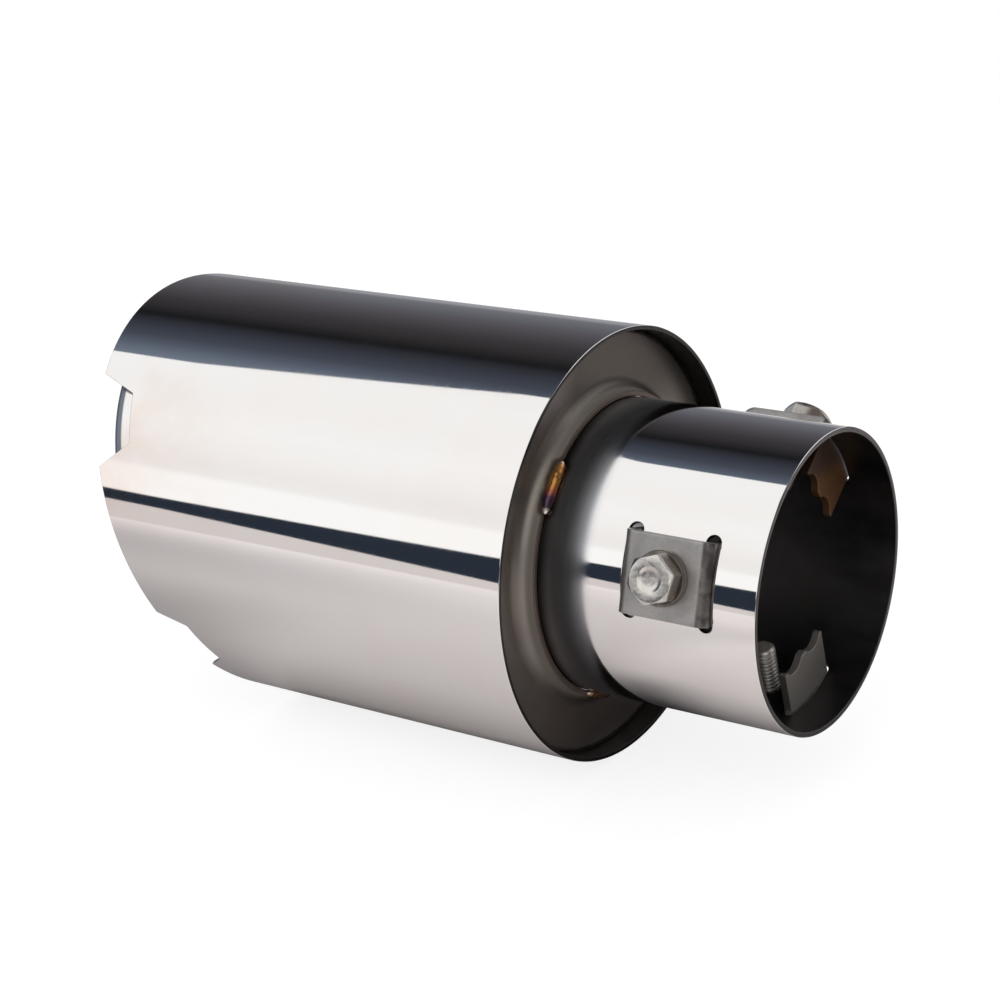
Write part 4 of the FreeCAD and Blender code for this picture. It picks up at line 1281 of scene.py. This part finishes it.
def build_world(studio):
    """White to the camera, the studio's softboxes and dark gaps to the metal, and plain soft light
    to the rest. The softboxes are bands round the tube's axis."""
    world = bpy.data.worlds.new("studio")
    bpy.context.scene.world = world
    world.use_nodes = True
    world.node_tree.nodes.clear()
    wires = NodeTree(world.node_tree)
    parts = wires.parts(wires.add("ShaderNodeTexCoord").outputs["Generated"])
    along = parts[0]
    turn = wires.calc("ARCTAN2", wires.product(parts[1], -1.0), parts[2])
    light_start = wires.calc("MAXIMUM", aslant_edge(wires, along, LIGHT_EDGE),
                             aslant_edge(wires, along, LIGHT_EDGE_OVER_NECK))
    upper = wires.mix(past(wires, turn, light_start, LIGHT_SOFT), ring_light(wires, turn, DARK_RING),
                      ring_light(wires, turn, LIGHT_RING))
    gap_start = aslant_edge(wires, along, GAP_EDGE)
    gapped = wires.mix(past(wires, turn, gap_start, GAP_SOFT), upper, as_light(*GAP_SHADE))
    off_neck = wires.calc("LESS_THAN", along, NECK_START)
    low_on_neck = wires.calc("ADD", aslant_edge(wires, along, LOW_EDGE_OVER_NECK), off_neck)
    low_start = wires.calc("MINIMUM", aslant_edge(wires, along, LOW_EDGE), low_on_neck)
    near = wires.mix(past(wires, turn, low_start, LOW_SOFT), gapped, as_light(*LOW_SHADE))
    ring = wires.mix(wires.span(along, *FAR_START), near, ring_light(wires, turn, FAR_RING))
    ended = wires.mix(wires.span(along, *OUTLET_START), ring, as_light(*OUTLET_END))
    shown = wires.mix(wires.span(along, *MOUTH_START), ended, as_light(*MOUTH_END))
    path = wires.add("ShaderNodeLightPath").outputs
    metal_sees = wires.calc("MAXIMUM", path["Is Glossy Ray"], path["Is Transmission Ray"])
    lit = wires.mix(metal_sees, tint([studio.soft_light] * 3), shown)
    final = wires.mix(path["Is Camera Ray"], lit, tint(studio.backdrop))
    background = wires.add("ShaderNodeBackground", {"Color": final, "Strength": 1.0})
    output = wires.add("ShaderNodeOutputWorld")
    wires.join(background.outputs[0], output.inputs["Surface"])


def floor_material(studio):
    """Pale floor: the camera sees it almost white with a faint shadow, and the metal sees its own
    soft colour with painted shadows under the part and a painted shade towards the outlet. Each
    span below is a pair of places in metres, along the tube or across it, and the share of shade
    that it ends in."""
    material = bpy.data.materials.new("studio_floor")
    material.use_nodes = True
    material.node_tree.nodes.clear()
    wires = NodeTree(material.node_tree)
    parts = wires.parts(wires.place())
    along, across = parts[0], parts[1]
    behind = wires.span(across, 0.22, 1.3)
    paled = wires.mix(behind, tint(studio.floor), tint(studio.far_floor))
    # painted shade on the floor towards the outlet
    towards_outlet = wires.product(wires.span(along, -0.1, -0.34, 0.0, 0.45),
                                   wires.span(across, -0.42, -0.16))
    outlet_shaded = wires.mix(towards_outlet, paled, tint(studio.far_floor))
    # painted shadows on the floor under the shell and the neck
    before = wires.span(across, -0.28, -0.14, 0.0, 0.15)
    beneath = wires.span(across, -0.06, -0.015, 0.0, 0.22)
    outlet_side = wires.product(wires.span(along, -0.13, -0.2, 0.0, 0.34),
                                wires.span(across, -0.12, -0.05))
    shade = wires.calc("ADD", wires.calc("ADD", before, beneath), outlet_side)
    past_collar = wires.span(along, -0.045, -0.07)
    under_shell = wires.product(shade, past_collar)
    by_collar = wires.product(wires.span(along, -0.025, -0.055, 0.0, 0.42),
                              wires.span(across, -0.045, -0.025))
    under_neck = wires.calc("ADD", wires.span(across, -0.042, 0.0, 0.0, 0.52), by_collar)
    neck_share = wires.product(under_neck, wires.calc("SUBTRACT", 1.0, past_collar))
    near_side = wires.span(across, 0.1, 0.03)
    painted_floor_shadow = wires.product(wires.calc("ADD", under_shell, neck_share, clamp=True), near_side)
    shaded = wires.mix(painted_floor_shadow, outlet_shaded, tint(studio.floor_shade))
    plain = wires.add("ShaderNodeBsdfDiffuse", {"Color": shaded})
    seen = wires.add("ShaderNodeBsdfDiffuse", {"Color": tint(studio.floor_seen)})
    glow = wires.add("ShaderNodeEmission", {"Color": tint(studio.backdrop), "Strength": studio.floor_glow})
    white = wires.add("ShaderNodeAddShader", {0: seen.outputs[0], 1: glow.outputs[0]})
    seen_by_camera = wires.add("ShaderNodeLightPath").outputs["Is Camera Ray"]
    both = wires.add("ShaderNodeMixShader", {0: seen_by_camera, 1: plain.outputs[0], 2: white.outputs[0]})
    output = wires.add("ShaderNodeOutputMaterial")
    wires.join(both.outputs[0], output.inputs["Surface"])
    return material


def build_floor(studio, sizes):
    """A wide flat disc just under the shell, made of rings that grow outwards."""
    below_shell = 0.05 * MM
    middle = -0.09
    turn = np.arange(FLOOR_COLUMNS) * FULL_TURN / FLOOR_COLUMNS
    reach = np.array([0.0, 0.1, 0.2, 0.3, 0.42, 0.55])[:, None]
    height = -sizes.shell_radius - below_shell
    points = np.stack([reach * np.cos(turn) + middle, reach * np.sin(turn),
                       reach * 0 + height + turn * 0], -1)
    floor = new_piece("floor", [(points, False, True)])
    if floor.data.polygons[0].normal.z < 0:
        floor.data.flip_normals()
    floor.data.materials.append(floor_material(studio))


def build_camera(studio):
    """The photograph's camera."""
    data = bpy.data.cameras.new("camera")
    data.lens = studio.lens
    data.sensor_width = 36.0
    data.clip_start = 0.01
    data.clip_end = 50.0
    camera = bpy.data.objects.new("camera", data)
    bpy.context.scene.collection.objects.link(camera)
    camera.matrix_world = Matrix(CAMERA_PLACE)
    bpy.context.scene.camera = camera


def build_lamp(studio):
    """The near softbox, for the floor's soft shadow. The metal sees the world's softboxes instead."""
    data = bpy.data.lights.new("near_softbox", "AREA")
    data.shape = "RECTANGLE"
    data.size = 1.4
    data.size_y = 0.7
    data.energy = studio.key_power
    lamp = bpy.data.objects.new("near_softbox", data)
    bpy.context.scene.collection.objects.link(lamp)
    place = np.array([-0.1, -1.1, 1.05])
    target = np.array([-0.09, 0.0, 0.0])
    back = unit(place - target)
    right = unit(np.cross((0.0, 0.0, 1.0), back))
    up = np.cross(back, right)
    matrix = np.eye(4)
    matrix[:3, :3] = np.stack([right, up, back], -1)
    matrix[:3, 3] = place
    lamp.matrix_world = Matrix(matrix.tolist())
    lamp.visible_glossy = False


# Operators

class TipOperator:
    bl_options = {"REGISTER", "UNDO"}


class TIP_OT_stage(TipOperator, Operator):
    """Make the camera, the light and the floor."""
    bl_idname = "tip.stage"
    bl_label = "Stage"

    def execute(self, context):
        studio = context.scene.tip_studio
        build_camera(studio)
        build_world(studio)
        build_floor(studio, context.scene.tip_sizes)
        build_lamp(studio)
        context.scene.view_settings.view_transform = "Standard"
        return {"FINISHED"}


class TIP_OT_finishes(TipOperator, Operator):
    """Make the node materials that the pieces share."""
    bl_idname = "tip.finishes"
    bl_label = "Finishes"

    def execute(self, context):
        build_finishes(context.scene.tip_sizes, context.scene.tip_finish)
        return {"FINISHED"}


class TIP_OT_outer_shell(TipOperator, Operator):
    """Make the polished shell with its slashed, notched rim."""
    bl_idname = "tip.outer_shell"
    bl_label = "Outer shell"

    def execute(self, context):
        sizes = context.scene.tip_sizes
        piece = new_piece("shell_sheet", [(shell_grid(sizes), True, True)])
        smooth_rounds(piece, sizes.shell_radius, sizes.shell_radius - sizes.shell_wall)
        finish_piece(piece, "tip", "shell_polish", "polished_shell", "outer_shell")
        return {"FINISHED"}


class TIP_OT_inner_liner(TipOperator, Operator):
    """Make the liner tube with its rolled lip."""
    bl_idname = "tip.inner_liner"
    bl_label = "Inner liner"

    def execute(self, context):
        sizes = context.scene.tip_sizes
        piece = new_piece("liner_tube", [(liner_grid(sizes), True, True)])
        smooth_rounds(piece, sizes.liner_radius, sizes.liner_radius - sizes.liner_wall)
        finish_piece(piece, "tip", "liner_polish", "polished_liner", "inner_liner")
        return {"FINISHED"}


class TIP_OT_end_plate(TipOperator, Operator):
    """Make the pressed end plate."""
    bl_idname = "tip.end_plate"
    bl_label = "End plate"

    def execute(self, context):
        sizes = context.scene.tip_sizes
        grid = turned_grid(plate_section(sizes), PLATE_COLUMNS)
        piece = new_piece("pressed_plate", [(grid, True, True)])
        weigh_normals(piece)
        finish_piece(piece, "tip", "plate_satin", "satin_plate", "end_plate")
        return {"FINISHED"}


class TIP_OT_inlet_neck(TipOperator, Operator):
    """Make the neck tube with its slots and bolt holes."""
    bl_idname = "tip.inlet_neck"
    bl_label = "Inlet neck"

    def execute(self, context):
        sizes = context.scene.tip_sizes
        piece = new_piece("neck_tube", neck_grids(sizes))
        face_outwards(piece)
        thicken(piece, sizes.neck_wall, sizes.edge_round)
        smooth_rounds(piece, sizes.neck_radius, sizes.neck_radius - sizes.neck_wall)
        finish_piece(piece, "tip", "neck_polish", "polished_neck", "inlet_neck")
        return {"FINISHED"}


class TIP_OT_claw_brackets(TipOperator, Operator):
    """Make the bent brackets with their toothed legs."""
    bl_idname = "tip.claw_brackets"
    bl_label = "Claw brackets"

    def execute(self, context):
        sizes = context.scene.tip_sizes
        for number in range(1, CLAMPS + 1):
            piece = new_piece(f"claw_strip_{number}", bracket_grids(sizes, number))
            face_bracket_outwards(piece, sizes, number)
            thicken(piece, sizes.claw_wall, sizes.edge_round)
            weigh_normals(piece)
            finish_piece(piece, f"clamp_{number}", "bracket_blast", "satin_bracket",
                         f"claw_bracket_{number}")
        return {"FINISHED"}


def face_bracket_outwards(piece, sizes, number):
    """Turn the strip's faces so that its top looks away from the neck."""
    top = clamp_point(sizes, number, 0.0, 0.0, 1.0) - clamp_point(sizes, number, 0.0, 0.0, 0.0)
    if piece.data.polygons[0].normal.dot(top.tolist()) < 0:
        piece.data.flip_normals()


class TIP_OT_clamp_washers(TipOperator, Operator):
    """Make the washers under the bolt heads."""
    bl_idname = "tip.clamp_washers"
    bl_label = "Clamp washers"

    def execute(self, context):
        sizes = context.scene.tip_sizes
        for number in range(1, CLAMPS + 1):
            piece = new_piece(f"plain_washer_{number}", [(washer_grid(sizes, number), True, True)])
            weigh_normals(piece)
            finish_piece(piece, f"clamp_{number}", "washer_plating", "bright_washer",
                         f"clamp_washer_{number}")
        return {"FINISHED"}


class TIP_OT_clamp_bolts(TipOperator, Operator):
    """Make the hexagon bolts with their threads."""
    bl_idname = "tip.clamp_bolts"
    bl_label = "Clamp bolts"

    def execute(self, context):
        sizes = context.scene.tip_sizes
        for number in range(1, CLAMPS + 1):
            piece = new_piece(f"hex_bolt_{number}", [(bolt_grid(sizes, number), False, True)])
            weigh_normals(piece)
            finish_piece(piece, f"clamp_{number}", "bolt_plating", "bright_bolt",
                         f"clamp_bolt_{number}")
        return {"FINISHED"}


class TIP_OT_tack_welds(TipOperator, Operator):
    """Make the tack welds between the neck and the collar."""
    bl_idname = "tip.tack_welds"
    bl_label = "Tack welds"

    def execute(self, context):
        sizes = context.scene.tip_sizes
        for number in range(1, WELDS + 1):
            piece = new_piece(f"weld_bead_{number}", [(weld_grid(sizes, number), False, True)])
            finish_piece(piece, "tip", "weld_tint", "tinted_weld", f"tack_weld_{number}")
        return {"FINISHED"}


OPERATORS = (
    TIP_OT_stage, TIP_OT_finishes, TIP_OT_outer_shell, TIP_OT_inner_liner, TIP_OT_end_plate,
    TIP_OT_inlet_neck, TIP_OT_claw_brackets, TIP_OT_clamp_washers, TIP_OT_clamp_bolts, TIP_OT_tack_welds,
)


class TIP_PT_panel(Panel):
    """Lists the pieces and what a user may change."""
    bl_idname = "TIP_PT_panel"
    bl_label = "Exhaust Tip"
    bl_space_type = "VIEW_3D"
    bl_region_type = "UI"
    bl_category = "Exhaust Tip"

    def draw(self, context):
        layout = self.layout
        for operator in OPERATORS:
            layout.operator(operator.bl_idname)
        scene = context.scene
        for group in (scene.tip_sizes, scene.tip_finish, scene.tip_studio):
            box = layout.box()
            for name in group.__annotations__:
                box.prop(group, name)


CLASSES = (TipSizes, TipFinish, StudioLook, *OPERATORS, TIP_PT_panel)


def register():
    for item in CLASSES:
        bpy.utils.register_class(item)
    bpy.types.Scene.tip_sizes = PointerProperty(type=TipSizes)
    bpy.types.Scene.tip_finish = PointerProperty(type=TipFinish)
    bpy.types.Scene.tip_studio = PointerProperty(type=StudioLook)


def unregister():
    del bpy.types.Scene.tip_studio
    del bpy.types.Scene.tip_finish
    del bpy.types.Scene.tip_sizes
    for item in reversed(CLASSES):
        bpy.utils.unregister_class(item)


def main():
    register()
    bpy.ops.tip.stage()
    bpy.ops.tip.finishes()
    bpy.ops.tip.outer_shell()
    bpy.ops.tip.inner_liner()
    bpy.ops.tip.end_plate()
    bpy.ops.tip.inlet_neck()
    bpy.ops.tip.claw_brackets()
    bpy.ops.tip.clamp_washers()
    bpy.ops.tip.clamp_bolts()
    bpy.ops.tip.tack_welds()


if __name__ == "__main__":
    main()
